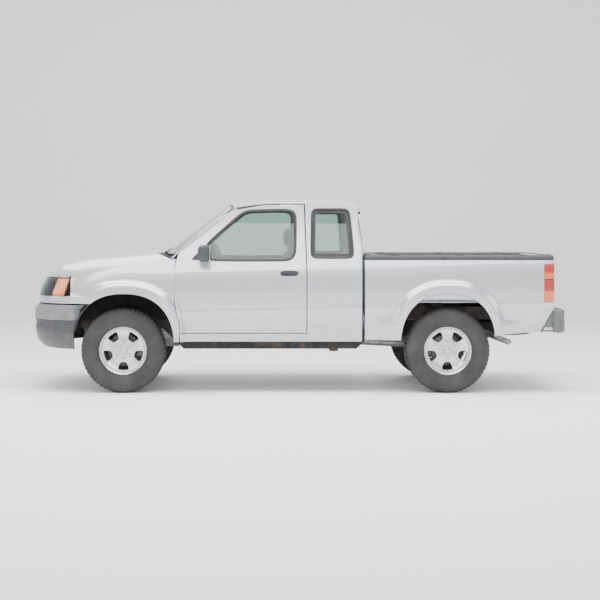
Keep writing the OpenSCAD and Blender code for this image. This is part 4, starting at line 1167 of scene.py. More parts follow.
# bumpers
print("bumpers")
phis = spread(-math.radians(74), math.radians(74), 110)
bumperRows = [(657, 4), (661, 1.5), (668, 0), (700, -1), (725, 3), (728, 3), (745, 0), (752, 2), (765, 13), (780,
    26), (792, 36), (797, 44)]


def wheelRoom(side, fromZ=560, grow=18.6):
    line = archLine(frontArch, fromZ, fromZ, 40, grow)
    loop = [(line[0][0] - 6, 200)] + line + [(line[-1][0] + 6, 200)]
    return prism("cut", loop, -950, 950, None, side)


outer = [[nosePoint(p, z, 0, push) for p in phis] for z, push in bumperRows]
bumper = plate("frontBumper", outer, [[nosePoint(p, z, 55, push) for p in phis] for z, push in bumperRows],
    bumperGrey, 2)
bumper = cutAway(bumper, [wheelRoom(1)])
keep(bumper, "truck", "bumper_grey", "front_bumper")

phis = spread(-math.radians(76), math.radians(76), 120)
lowerRows = [(392, 120), (396, 96), (402, 84), (410, 75), (430, 55), (450, 36), (465, 25), (500, 17), (530, 9),
    (562, 4), (590, 4), (602, 12), (640, 12), (645, 4), (656.5, 4)]
outer = [[nosePoint(p, z, 0, push) for p in phis] for z, push in lowerRows]
valance = plate("bumperLower", outer, [[nosePoint(p, z, 40, push) for p in phis] for z, push in lowerRows], charcoal, 2)
cutters = [wheelRoom(1)]
for side in (1, -1):
    at = nosePoint(math.radians(31), 520)
    recess = softBox("cut", point(at[0] - 60, side * 430 - 88, 490), point(at[0] - 140, side * 430 + 88, 572), 0.02,
        None)
    recess.data.transform(Matrix.Translation((0.0, 0, 0)))
    cutters.append(recess)
valance = cutAway(valance, cutters)
keep(valance, "truck", "trim_black", "bumper_lower")
for side, word in ((1, "Left"), (-1, "Right")):
    at = Vector(point(nosePoint(math.radians(30), 532)[0] + 34, 430, 531, side))
    bowl = lathe("fogBowl" + word, [(0, -14), (30, -6), (38, 8), (41, 8), (41, -20), (0, -20)], reflector, 48,
        closed=False)
    face = lathe("fogLens" + word, [(0, 10), (36, 8), (38, 5), (36, 3), (0, 5)], lampCover, 48, closed=False)
    for piece in (bowl, face):
        piece.data.transform(Matrix.Translation(at) @ Matrix.Rotation(math.radians(-90), 4, "Z"))
    keep(bowl, "truck", "lamp")
    keep(face, "truck", "lamp")
for side, word in ((1, "Left"), (-1, "Right")):
    bracket = softBox("bumperBracket" + word, point(-590, *sorted((side * 328, side * 374))[:1], 678.5), point(-840,
        sorted((side * 328, side * 374))[1], 720), 0.004, underPaint)
    keep(bracket, "truck", "chassis_black")

# the rear bumper, hollow below, with its treads and blank plate
half = [(3920, 850), (3974, 856), (4020, 790), (4039, 640), (4045, 480)]


def rearLine(shrink, n=24):
    pts = [(3920, 850), (3960, 857), (3982, 850), (4008, 812), (4024, 760), (4034, 690), (4040, 620), (4044, 520),
        (4045, 440), (4045, 0)]
    line = [(s - shrink, max(0.0, y - shrink)) for s, y in pts]
    return [(s, -y) for s, y in line[:-1]] + [(s, y) for s, y in reversed(line)]


def rearWall(z, push):
    return [(s - push * (1 if abs(y) < 700 else 0.5),
        math.copysign(max(0, abs(y) - push * (0.4 if abs(y) > 700 else 0)), y), z) for s, y in rearLine(0)]


rows = [(549, 10), (556, 3), (566, 0), (640, 0), (655, 0), (662, 4), (700, 4), (708, 0), (738, 0), (747, 3), (752, 12)]
outer = [rearWall(z, push) for z, push in rows]
shell = plate("rearBumper", outer, [[(s - 11, y * 0.986, z) for s, y, z in row] for row in outer], stepGrey, 2)
top = plate("rearBumperTop", [[(mix(3922, row[0] - 8, v), row[1] * mix(0.985, 1, v),
    751.5) for row in outer[-1]] for v in spread(0, 1, 8)],
            [[(mix(3922, row[0] - 8, v), row[1] * mix(0.985, 1, v), 740) for row in outer[-1]] for v in spread(0, 1,
                8)], stepGrey, 1.5)
hole = lathe("cut", [(0, -60), (9.75, -60), (9.75, 60), (0, 60)], None, 40, closed=False)
hole.data.transform(Matrix.Translation((axleX - 3.985, 0, 0.745)) @ Matrix.Rotation(math.radians(90), 4, "X"))
top = cutAway(top, [hole])
keep(shell, "truck", "bumper_grey", "rear_bumper")
keep(top, "truck", "bumper_grey")
rib = softBox("rib", (-0.003, -0.11, -0.0012), (0.003, 0.11, 0.0028), 0.0012, stepGrey)
for y0, word in ((-560, "Left"), (560, "Right")):
    ribs = grow("stepRibs" + word, setAlong, {"Block": rib, "Count": 7, "Size Jitter": 0.0, "Seed": 5,
        "Finish": stepGrey},
                lineMesh([(axleX - 3.945, -y0 / 1000, 0.7515), (axleX - 4.005, -y0 / 1000, 0.7515)]))
    keep(ribs, "truck", "bumper_grey")
bpy.data.objects.remove(rib)
for side, word in ((1, "Left"), (-1, "Right")):
    for a, b in (((3893, 6), (3932, 50)), ((3924, 6), (4037, 20))):
        low, high = point(a[0], 384 - b[1], 662, side), point(b[0], 384 - a[1], 745 if a[0] > 3900 else 728, side)
        keep(softBox("rearBracket%s%d" % (word, a[0]), tuple(map(min, low, high)), tuple(map(max, low, high)),
            0.003, underPaint), "truck", "chassis_black")
plateCase = softBox("plateHolder", (axleX - 4.0466, -0.165, 0.575), (axleX - 4.040, 0.165, 0.728), 0.003, blackTrim)
blank = softBox("plateBlank", (axleX - 4.0484, -0.152, 0.581), (axleX - 4.0466, 0.152, 0.70), 0.0008, plateBlank)
keep(plateCase, "truck", "trim_black")
keep(blank, "truck", "bumper_grey")


# lamps and grille
print("lamps")


def phiAt(s, z, push=0):
    low, high = 0.1, math.radians(88)
    for _ in range(40):
        mid = (low + high) / 2
        low, high = (mid, high) if nosePoint(mid, z, 0, push)[0] < s else (low, mid)
    return low


lamp = {"low": 877, "top": 1039, "inner": math.radians(17.9), "rearLow": -545, "rearTop": -489}


def lampEnd(z, ahead=0):
    return phiAt(mix(lamp["rearLow"], lamp["rearTop"], (z - 876) / 164) - ahead, z)


def lampBand(name, start, end, depth, thick, material, side, low=None, top=None, radius=1.2, n=26):
    rows = spread(low or lamp["low"], top or lamp["top"], 16)
    outer = [[nosePoint(mix(start(z), end(z), t), z, 0, 0) for t in spread(0, 1, n)] for z in rows]
    front = [[nosePoint(mix(start(z), end(z), t), z, depth, 0) for t in spread(0, 1,
        n)] for z in rows] if depth else outer
    back = [[nosePoint(mix(start(z), end(z), t), z, depth + thick, 0) for t in spread(0, 1, n)] for z in rows]
    return plate(name, front, back, material, radius, side)


for side, word in ((1, "Left"), (-1, "Right")):
    inner = lambda z: lamp["inner"]
    parts = [
        (lampBand("lampCover" + word, inner, lambda z: lampEnd(z, 120), 0, 3, lampCover, side), ["headlights"]),
        (lampBand("lampMarker" + word, lambda z: lampEnd(z, 118), lambda z: lampEnd(z, 99), 0.5, 9, orangeLens,
            side, n=6), []),
        (lampBand("lampAmber" + word, lambda z: lampEnd(z, 97), lambda z: lampEnd(z, 3), 0, 10, amber, side, n=12), []),
        (lampBand("lampBack" + word, inner, lambda z: lampEnd(z, 2), 46, 6, blackTrim, side), []),
    ]
    for piece, nodes in parts:
        keep(piece, "truck", "lamp", *nodes)
    rim = [(inner(z), z) for z in spread(lamp["low"], lamp["top"], 10)] + [(mix(inner(1039), lampEnd(1039, 1), t),
        1039) for t in spread(0.05, 1, 24)]
    rim += [(lampEnd(z, 1), z) for z in spread(1030, 877, 10)] + [(mix(lampEnd(877, 1), inner(877), t),
        877) for t in spread(0.04, 0.96, 24)]
    keep(tube("lampSeal" + word, [point(*nosePoint(p, z, 2), side) for p, z in rim], 4.6, seal, 10, closed=True),
        "truck", "trim_black")
    for n in (0, 1):
        phi = math.radians(27 if n == 0 else 43)
        at = nosePoint(phi, 958, 0)
        bowl = lathe("lampBowl%s%d" % (word, n), [(0, -40), (22, -38), (40, -26), (56, -8), (64, 10), (67, 10),
            (66, -12), (50, -40), (0, -46)], reflector, 56, closed=False)
        bowl.data.transform(Matrix.Translation(Vector(point(at[0] + 62 + 10 * n, at[1], 958,
            side))) @ Matrix.Rotation(math.radians(-90 + side * (8 + 20 * n)), 4, "Z"))
        bulb = lathe("lampBulb%s%d" % (word, n), [(0, -38), (9, -38), (9, -14), (13, -8), (12, 2), (6, 8), (0, 9)],
            whiteLens, 32, closed=False)
        bulb.data.transform(Matrix.Translation(Vector(point(at[0] + 62 + 10 * n, at[1], 958,
            side))) @ Matrix.Rotation(math.radians(-90 + side * (8 + 20 * n)), 4, "Z"))
        keep(bowl, "truck", "lamp")
        keep(bulb, "truck", "lamp")

half = math.radians(16.9)
rows = spread(878, 1039, 14)
phis = spread(-half, half, 40)
back = plate("grilleBack", [[nosePoint(p, z, 30) for p in phis] for z in rows],
    [[nosePoint(p, z, 38) for p in phis] for z in rows], blackTrim, 1)
keep(back, "truck", "grille", "grille")


def noseStrip(name, phiA, phiB, zA, zB, push, thick, material, n=40):
    rows = spread(zA, zB, 4)
    return plate(name, [[nosePoint(p, z, push) for p in spread(phiA, phiB, n)] for z in rows],
                 [[nosePoint(p, z, push + thick) for p in spread(phiA, phiB, n)] for z in rows], material, 2.2)


bars = [noseStrip("bar", -half, half, 878, 892, 0, 30, chrome), noseStrip("bar", -half, half, 1025, 1039, 0, 30,
    chrome),
        noseStrip("bar", -half, -half * 0.945, 892, 1025, 0, 30, chrome, 4), noseStrip("bar", half * 0.945, half,
            892, 1025, 0, 30, chrome, 4),
        noseStrip("bar", -half * 0.34, -half * 0.30, 892, 1025, 2, 24, chrome, 4), noseStrip("bar", half * 0.30,
            half * 0.34, 892, 1025, 2, 24, chrome, 4)]
keep(joined("grilleFrame", bars), "truck", "grille")
bars = [noseStrip("slat", -half * 0.94, half * 0.94, z, z + 7, 10, 18, blackTrim) for z in range(904, 1020, 21)]
keep(joined("grilleSlats", bars), "truck", "trim_black")

tail = {"bands": [(831, 929, orangeLens), (933, 1029, redLens), (1037, 1092, orangeLens), (1094, 1170, redLens)]}
for side, word in ((1, "Left"), (-1, "Right")):
    for k, (low, top, lens) in enumerate(tail["bands"]):
        rows = [[(s, plainY(s, z) + 1.5, z) for s in [3825, 3835, 3860, 3885, 3900, 3910,
            3915]] for z in spread(low, top, 10)]
        deep = [[(min(s, 3914), plainY(s, z) - 62, z) for s in [3825, 3835, 3860, 3885, 3900, 3910,
            3915]] for z in spread(low, top, 10)]
        keep(plate("tailLens%s%d" % (word, k), rows, deep, lens, 3.5, side), "truck", "tail_lamp", "tail_lights")
    rows = [[(s, plainY(s, z) - 3, z) for s in (3823, 3870, 3911)] for z in spread(829, 1172, 20)]
    deep = [[(s, plainY(s, z) - 66, z) for s in (3823, 3870, 3911)] for z in spread(829, 1172, 20)]
    keep(plate("tailCase" + word, rows, deep, blackTrim, 1, side), "truck", "tail_lamp")
    low, high = point(3916, 744, 940, side), point(3913, 806, 1022, side)
    keep(softBox("reverseLens" + word, tuple(map(min, low, high)), tuple(map(max, low, high)), 0.0012, whiteLens),
        "truck", "tail_lamp")

# mirrors
print("mirrors")
for side, word in ((1, "left"), (-1, "right")):
    name = word.title()
    case = softBox("mirrorCase" + name, (0, -0.068, -0.082), (0.105, 0.068, 0.082), 0.034, charcoal, 6,
                   taper=lambda x, y, z: (x, y * (1 - 0.10 * (x > 0.05)), z * (1 - 0.14 * (x > 0.05)) + 0.0))
    case.data.transform(Matrix.Translation(point(790, 951, 1270, side)))
    pane = softBox("mirrorPane" + name, (-0.003, -0.056, -0.069), (0.002, 0.056, 0.069), 0.0025, mirrorFace)
    pane.data.transform(Matrix.Translation(point(791, 951, 1270, side)))
    foot = tube("mirrorFoot" + name, [point(716, y, z, side) for y, z in ((817, 1236), (840, 1236), (862, 1240),
        (884, 1246), (904, 1252))], 21, charcoal, 24, flat=0.7)
    flange = loopStrip("mirrorFlange" + name,
        evenly(rounded([(676, 1214), (756, 1214), (756, 1262), (676, 1262)], 0.2, 3), 60),
                       lambda s, z, up: (s, plainY(s, z) + up, z), [(-22, 4), (-22, 13), (-4, 12), (0, 8), (0, 4)],
                           charcoal, side)
    keep(case, "door_" + word, "trim_black", "mirror_" + word)
    keep(pane, "door_" + word, "trim_black")
    keep(foot, "door_" + word, "trim_black")
    keep(flange, "door_" + word, "trim_black")

# wheels
print("wheels")
wheel = {"pitches": 56, "windows": [(-27, -108), (27, -108), (53, -173), (-53, -173)], "bolts": 69.85}
tyreHalf = [(203, 83), (209, 90), (217, 97), (224, 106), (236, 116), (250, 123), (266, 127.5), (284, 130.2), (304,
    131), (318, 130.4), (328, 129),
            (330, 130.6), (338, 129.4), (340, 127), (350, 122.5), (360, 115.5), (368, 106), (373, 95), (375, 80),
                (375.5, 40)]
tyreProfile = tyreHalf + [(375.5, 0)] + [(r, -y) for r, y in reversed(tyreHalf)]
block = []
for z0, z1, y0, y1, top in ((-0.016, 0.016, -0.013, 0.007, 9.2), (0.021, 0.050, -0.018, 0.000, 9), (0.021, 0.050,
    0.006, 0.018, 9), (-0.050, -0.021, 0.000, 0.018, 9),
                            (-0.050, -0.021, -0.018, -0.006, 9), (0.055, 0.086, -0.017, 0.010, 8), (-0.086, -0.055,
                                -0.010, 0.017, 8),
                            (-0.013, 0.013, 0.010, 0.019, 9.2), (0.060, 0.086, 0.0135, 0.019, 8), (-0.086, -0.060,
                                -0.019, -0.0135, 8)):
    block.append(softBox("lug", (-0.004, y0, z0), (top / 1000 - 0.0006, y1, z1), 0.0016, tyreRubber, 1))
for sign in (1, -1):
    for y0, y1, reach in ((-0.017, 0.004, 0.108), (0.007, 0.017, 0.1005)):
        block.append(softBox("shoulder", (-0.006, y0, min(sign * 0.0895, sign * reach)), (0.0058, y1,
            max(sign * 0.0895, sign * reach)), 0.002, tyreRubber, 1,
                             taper=lambda x, y, z: (x - max(0, abs(z) - 0.094) * 0.72, y, z)))
block = joined("treadBlock", block)
nut = lathe("nut", [(0, 22), (4, 22), (7.5, 20), (9.5, 16), (10, 12), (10, 2), (13.5, 0), (13.5, -4), (0, -4)],
    chrome, 6, closed=False, angle=20)
nut.data.transform(Matrix.Rotation(math.radians(90), 4, "X"))


def windowCutter(turn):
    outline = evenly(rounded(wheel["windows"], 0.16, 3), 60)
    levels = [(120, 14), (74, 10), (66, 6.5), (60, 3.5), (46, 0.5), (10, 0)]
    verts, n = [], len(outline)
    for y, g in levels:
        verts += [(x / 1000, y / 1000, z / 1000) for x, z in grown(outline, g)]
    faces = [(k * n + i, k * n + (i + 1) % n, (k + 1) * n + (i + 1) % n,
        (k + 1) * n + i) for k in range(len(levels) - 1) for i in range(n)]
    faces += [tuple(range(n)), tuple(range((len(levels) - 1) * n, len(levels) * n))]
    made = fromLists("cut", verts, faces, None)
    made.data.transform(Matrix.Rotation(turn, 4, "Y"))
    return made


def spokeY(r, a):
    spoke = math.cos((a - math.pi / 2) * 5) * 0.5 + 0.5  # one at the middle of a spoke
    dish = mix(60, 74, smooth((r - 150) / 44)) + 5 * smooth((118 - r) / 34)
    return dish + 2.2 * spoke * smooth((r - 90) / 30) * smooth((196 - r) / 20) - 6 * smooth((40 - r) / 6)


face = {"radii": [26, 34, 38, 42, 48, 56, 64, 72, 80, 86, 92, 98, 106, 114, 122, 132, 142, 152, 162, 170, 178, 186,
    192, 197], "turns": 240}
verts, faces = [], []
for layer in (0, 1):
    for r in face["radii"]:
        for i in range(face["turns"]):
            a = 2 * math.pi * i / face["turns"]
            y = spokeY(r, a) - (0 if layer == 0 else 19)
            verts.append((math.cos(a) * r / 1000, y / 1000, math.sin(a) * r / 1000))
m, n = len(face["radii"]), face["turns"]
for r in range(m - 1):
    for i in range(n):
        j = (i + 1) % n
        faces.append((r * n + i, r * n + j, (r + 1) * n + j, (r + 1) * n + i))
        faces.append((m * n + r * n + i, m * n + (r + 1) * n + i, m * n + (r + 1) * n + j, m * n + r * n + j))
for r in (0, m - 1):
    for i in range(n):
        j = (i + 1) % n
        faces.append((r * n + i, m * n + r * n + i, m * n + r * n + j, r * n + j))
disc = fromLists("discMaster", verts, faces, alloy, 35)
cutters = [windowCutter(math.radians(72 * k)) for k in range(5)]
for k in range(6):
    a = math.radians(30 + 60 * k)
    pocket = lathe("cut", [(0, 57), (10, 57), (14, 59), (15.5, 75), (16, 90), (0, 90)], None, 36, closed=False)
    pocket.data.transform(Matrix.Translation((math.cos(a) * wheel["bolts"] / 1000, 0,
        math.sin(a) * wheel["bolts"] / 1000)))
    cutters.append(pocket)
disc = cutAway(disc, cutters, 35)
rimProfile = [(219, 95), (220, 93), (218, 88), (211, 85.5), (204.5, 83), (202.8, 74), (202, 30), (202, -60), (202.8,
    -76), (205, -84), (213, -86), (219, -88), (219.5, -94),
              (216, -95), (207, -93), (197, -86), (192, -70), (190, 0), (191, 52), (196, 62), (199, 78), (206, 88),
                  (211, 92), (215, 95.5)]
for end, ends in (("front", 0), ("rear", wheelbase)):
    for side, word in ((1, "left"), (-1, "right")):
        name = end.title() + word.title()
        bodyName = "wheel_%s_%s" % (end, word)
        centre = Vector((axleX - ends / 1000, side * halfTrack / 1000, hubZ / 1000))
        flip = Matrix.Translation(centre) @ (Matrix.Identity(4) if side > 0 else Matrix.Rotation(math.pi, 4, "Z"))
        tyre = lathe("tyre" + name, tyreProfile, tyreRubber, 144)
        tread = grow("tread" + name, setAround, {"Block": block, "Count": wheel["pitches"], "Radius": 0.3755,
            "Finish": tyreRubber}, None,
                     Matrix.Rotation(math.radians(-90), 4, "X"))
        nuts = grow("nuts" + name, setAround, {"Block": nut, "Count": 6, "Radius": wheel["bolts"] / 1000,
            "Finish": chrome}, None,
                    Matrix.Translation((0, 0.060, 0)) @ Matrix.Rotation(math.radians(-30), 4,
                        "Y") @ Matrix.Rotation(math.radians(-90), 4, "X"))
        barrel = lathe("rim" + name, rimProfile, alloy, 144)
        spokes = bpy.data.objects.new("spokes" + name, disc.data.copy())
        bpy.context.scene.collection.objects.link(spokes)
        cap = lathe("cap" + name, [(0, 77), (12, 76.5), (22, 74.5), (28, 70.5), (30, 64), (30, 40), (0, 40)], alloy,
            64, closed=False)
        stem = tube("valve" + name, [(0.0, 0.078, -0.186), (0.0, 0.092, -0.180), (0.0, 0.103, -0.176)], 4, seal, 12)
        drum = lathe("brake" + name, [(60, -14), (64, 34), (70, 36), (79, 32), (80, -20), (148, -21), (148, -43),
            (82, -43), (60, -43)] if end == "front"
                     else [(60, 30), (78, 30), (82, -8), (140, -9), (147, -14), (148, -24), (148, -70), (140, -72),
                         (60, -72)], discSteel, 96)
        for piece in (tyre, tread, nuts, barrel, spokes, cap, stem, drum):
            piece.data.transform(flip)
        keep(tyre, bodyName, "tyre", "tyre_%s_%s" % (end, word))
        keep(tread, bodyName, "tyre")
        keep(barrel, bodyName, "alloy", "rim_%s_%s" % (end, word))
        for piece in (spokes, cap, nuts, stem, drum):
            keep(piece, bodyName, "alloy")
        if end == "front":
            caliper = softBox("caliper" + word.title(), (-0.205, -0.075, -0.062), (-0.112, 0.005, 0.062), 0.014,
                castIron, 4)
            caliper.data.transform(flip)
            keep(caliper, "knuckle_" + word, "cast")

# the spare below the bed
spareTyre = lathe("spareTyre", [(r * 0.953, y * 0.56) for r, y in tyreProfile], tyreRubber, 96)
spareDisc = lathe("spareDisc", [(0, 20), (60, 20), (75, 8), (150, 8), (178, 30), (205, 46), (208, 44), (190, 0),
    (190, -50), (186, -50), (182, -2), (150, 2), (72, 2), (58, 14), (0, 14)], steel, 72, closed=False)
for piece in (spareTyre, spareDisc):
    piece.data.transform(Matrix.Translation((axleX - (wheelbase + 560) / 1000, 0,
        0.5605)) @ Matrix.Rotation(math.radians(90), 4, "X"))
keep(spareTyre, "truck", "tyre", "spare_wheel")
keep(spareDisc, "truck", "chassis_black")
bpy.data.objects.remove(block)
bpy.data.objects.remove(nut)
bpy.data.objects.remove(disc)


# bed, tailgate and rear bumper end
print("bed")


def ribbed(y):
    return 4.5 * (0.5 + 0.5 * math.cos(2 * math.pi * y / 118)) ** 0.6


ys = spread(-697, 697, 190)
ss = [2331, 2336, 2345] + spread(2400, 3800, 12) + [3845, 3852, 3854]
top = [[(s, y, 830 + ribbed(y) * smooth((s - 2333) / 14)) for y in ys] for s in ss]
under = [[(s, y, 815) for y in ys] for s in ss]
keep(plate("bedFloor", top, under, paint, 2), "truck", "paint", "bed_tub")
for side, word in ((1, "Left"), (-1, "Right")):
    rows = []
    for z in [833, 836, 845, 900, 960, 1020, 1080, 1140, 1200, 1214]:
        rows.append([(s, 748.5 - 5 * smooth((z - 980) / 6) * smooth((1012 - z) / 6) - 14 * smooth((845 - z) / 14),
            z) for s in [2331, 2345] + spread(2420, 3750, 12) + [3812, 3820]])
    back = [[(s, y + 9, z) for s, y, z in row] for row in rows]
    keep(plate("bedWall" + word, rows, back, paint, 1.5, side), "truck", "paint")
    outline = [(2552, 834), (2562, 880), (2590, 920), (2640, 941), (2720, 947), (3180, 947), (3260, 941), (3310,
        920), (3338, 880), (3348, 834)]
    smoothLine = evenly(rounded(outline + [(3348, 828), (2552, 828)], 0.2, 2), 90)
    box = prism("wheelBox" + word, smoothLine, 562, 750, paint, side, 14)
    hollow = lathe("cut", [(0, -112), (477, -112), (477, 112), (0, 112)], None, 72, centre=point(2950, 692, 434,
        side), closed=False)
    box = cutAway(box, [hollow], 30)
    keep(box, "truck", "paint")
    capSs = [2199, 2204, 2230] + spread(2300, 3800, 10) + [3880, 3906, 3911]
    section = [(752, 1196), (748.5, 1216), (749, 1240), (756, 1249), (772, 1252), (800, 1251), (816, 1247), (825,
        1238), (827.5, 1224), (828, 1206)]
    rows = [[(s, mix(748, plainY(s, 1216) + 2.5, (y - 748.5) / 79.5), z) for s in capSs] for y, z in section]
    inner = [[(s, mix(748, plainY(s, 1216) - 1, (y - 748.5) / 79.5) + (3 if y < 760 else -2),
        z - (4 if 749 < y < 827 else 0)) for s in capSs] for y, z in section]
    keep(plate("bedCap" + word, rows, inner, charcoal, 1.2, side), "truck", "trim_black", "bed_rail_caps")
    for k, s in enumerate((2480, 3060, 3640)):
        keep(softBox("stakeCover%s%d" % (word, k),
            tuple(map(min, point(s - 34, 765, 1250, side), point(s + 34, 808, 1254, side))),
                     tuple(map(max, point(s - 34, 765, 1250, side), point(s + 34, 808, 1254, side))), 0.0015,
                         blackTrim), "truck", "trim_black")
    for k, (s, y, z) in enumerate(((2420, 742, 1010), (3740, 742, 1010))):
        hook = tube("tieHook%s%d" % (word, k), [point(s - 24, y + 4, z, side), point(s - 24, y - 16, z, side),
            point(s + 24, y - 16, z, side), point(s + 24, y + 4, z, side)], 5, steel, 12)
        keep(hook, "truck", "chassis_black")
rows = []
for z in [833, 838, 880, 930, 936, 960, 966, 1060, 1066, 1090, 1096, 1190, 1206, 1214]:
    rows.append([(2331 + 4 * smooth((z - 931) / 6) * smooth((965 - z) / 6) + 4 * smooth((z - 1061) / 6) * smooth((1095 - z) / 6), y, z) for y in spread(-748, 748, 12)])
keep(plate("bedHead", rows, [[(s - 26, y, z) for s, y, z in row] for row in rows], paint, 2), "truck", "paint")
keep(prism("bedHeadCap", evenly(rounded([(2292, 1200), (2340, 1200), (2340, 1246), (2332, 1252), (2298, 1252),
    (2290, 1246)], 0.2, 2), 40), -747, 747, charcoal, 1, 2), "truck", "trim_black")
for k, s in enumerate((2460, 2920, 3620)):
    keep(softBox("bedBar%d" % k, point(s + 30, -540, 758), point(s - 30, 540, 794), 0.006, underPaint), "truck",
        "chassis_black")

gate = {"front": 3864, "rear": 3910, "low": 802, "top": 1248, "panel": (-520, 520, 890, 1150)}


def gateRear(y, z):
    a, b, low, top = gate["panel"]
    inside = min(smooth((y - a) / 22), smooth((b - y) / 22), smooth((z - low) / 20), smooth((top - z) / 20))
    return gate["rear"] - 6 * inside - 5 * (1 - smooth((z - gate["low"]) / 14)) - 5 * (1 - smooth((gate["top"] - z) / 14))


ys = [-696, -690, -640, -545] + spread(-522, -495, 6) + spread(-440, 440, 12) + spread(495, 522, 6) + [545, 640,
    690, 696]
zs = [802, 808, 818, 850, 884] + spread(890, 912, 5) + spread(940, 1110, 6) + spread(1128, 1152, 5) + [1170, 1210,
    1232, 1242, 1248]
face = [[(gateRear(y, z), y, z) for y in ys] for z in zs]
inner = [[(gate["front"] + 1 + 4 * (1 - smooth((gate["top"] - z) / 10)), y, z) for y in ys] for z in zs]
gatePlate = plate("gatePanel", face, inner, paint, 3)
keep(gatePlate, "tailgate", "paint", "tailgate")
keep(softBox("gateRecess", point(3912, -118, 1130), point(3903, 118, 1196), 0.004, blackTrim), "tailgate", "trim_black")
keep(tube("gateHandle", [point(3908, y, z) for y, z in ((-88, 1150), (-84, 1170), (-60, 1176), (60, 1176),
    (84, 1170), (88, 1150))], 8, charcoal, 16), "tailgate", "trim_black")
keep(prism("gateCap", evenly(rounded([(3860, 1247), (3914, 1247), (3915, 1252), (3908, 1257), (3868, 1257), (3860,
    1252)], 0.2, 2), 40), -694, 694, charcoal, 1, 2), "tailgate", "trim_black")
for z in (870, 1000, 1120):
    keep(softBox("gateRib%d" % z, point(3866, -600, z - 22), point(3859, 600, z + 22), 0.0028, paint), "tailgate",
        "paint")

# the bumper's dark end that wraps round the bed side's lower corner
for side, word in ((1, "Left"), (-1, "Right")):
    def wedgeFront(z):
        return mix(3797, 3908, clamp((z - 552) / 196))
    zs = spread(556, 748, 12)
    rows = [[(mix(wedgeFront(z), 3925, t), plainY(min(mix(wedgeFront(z), 3925, t), 3915), z) + 5,
        z) for t in spread(0, 1, 8)] for z in zs]
    deep = [[(s, y - 30, z) for s, y, z in row] for row in rows]
    keep(plate("bumperEnd" + word, rows, deep, stepGrey, 3, side), "truck", "bumper_grey")
    # painted shade: a dark rubber tube laid along the gap in front of the bumper end stands in for the shade that falls
    # in that gap
    keep(tube("bumperGap" + word, [point(wedgeFront(z) - 3, plainY(min(wedgeFront(z), 3915), z) - 1, z,
        side) for z in spread(550, 754, 14)], 4.5, seal, 8), "truck", "trim_black")


# seats
print("seats")
seat = {"across": 370, "voxel": 0.006, "pressure": 4.0, "frames": 18, "most": 0.024}
padShapes = {
    "Cushion": ([(1032, 598), (1418, 598), (1436, 760), (1424, 858), (1380, 862), (1200, 856), (1060, 876), (1012,
        872), (994, 846), (1008, 770)], 232, 40, "seats"),
    "Back": ([(1446, 806), (1440, 880), (1466, 1080), (1498, 1286), (1556, 1288), (1570, 1240), (1552, 806)], 228,
        34, None),
    "Rest": ([(1486, 1308), (1480, 1400), (1498, 1490), (1532, 1494), (1560, 1440), (1552, 1308)], 122, 26, None),
}


def padPiece(name, outline, half, radius, side):
    loop = evenly(rounded(outline, 0.28, 3), 72)
    piece = prism(name, loop, -half, half, seatCloth, 1, radius)
    piece.data.transform(Matrix.Translation((0, side * seat["across"] / 1000, 0)))
    return piece


def simulate(piece):
    # the cloth swells a copy of the pad under pressure; each point's move is then cut back to seat's most
    start = piece.copy()
    start.data = piece.data.copy()
    bpy.context.scene.collection.objects.link(start)
    remesh = start.modifiers.new("grid", "REMESH")
    remesh.mode, remesh.voxel_size = "VOXEL", seat["voxel"]
    bpy.context.view_layer.update()
    grid = bpy.data.meshes.new_from_object(start.evaluated_get(bpy.context.evaluated_depsgraph_get()))
    start.modifiers.clear()
    start.data = grid
    before = [v.co.copy() for v in grid.vertices]
    cloth = start.modifiers.new("cloth", "CLOTH")
    cloth.settings.use_pressure = True
    cloth.settings.uniform_pressure_force = seat["pressure"]
    cloth.settings.effector_weights.gravity = 0
    cloth.settings.quality = 6
    cloth.settings.tension_stiffness = cloth.settings.compression_stiffness = 30
    cloth.settings.bending_stiffness = 2
    cloth.settings.mass = 0.3
    cloth.point_cache.frame_start, cloth.point_cache.frame_end = 1, seat["frames"]
    scene = bpy.context.scene
    for frameNumber in range(1, seat["frames"] + 1):
        scene.frame_set(frameNumber)
    puffed = bpy.data.meshes.new_from_object(start.evaluated_get(bpy.context.evaluated_depsgraph_get()))
    scene.frame_set(1)
    start.modifiers.clear()
    for v, old in zip(puffed.vertices, before):
        moved = v.co - old
        if moved.length > seat["most"]:
            v.co = old + moved.normalized() * seat["most"]
    start.data = puffed
    return start


def channels(mesh, kind):
    # stitched channels pulled in after the swelling
    for v in mesh.vertices:
        y = abs(abs(v.co.y) - seat["across"] / 1000)
        along = v.co.x if kind == "Cushion" else v.co.z
        facing = v.normal.z if kind == "Cushion" else v.normal.x
        if facing > 0.5 and kind != "Rest":
            side = math.exp(-((y - 0.128) / 0.007) ** 2) * 0.010
            cross = max(math.exp(-((along - at) / 0.006) ** 2) for at in ((0.26, 0.36,
                0.46) if kind == "Cushion" else (0.93, 1.03, 1.13, 1.22)))
            inner = 0.007 * cross * (1 if y < 0.128 else 0)
            v.co -= v.normal * max(side, inner)
    mesh.update()


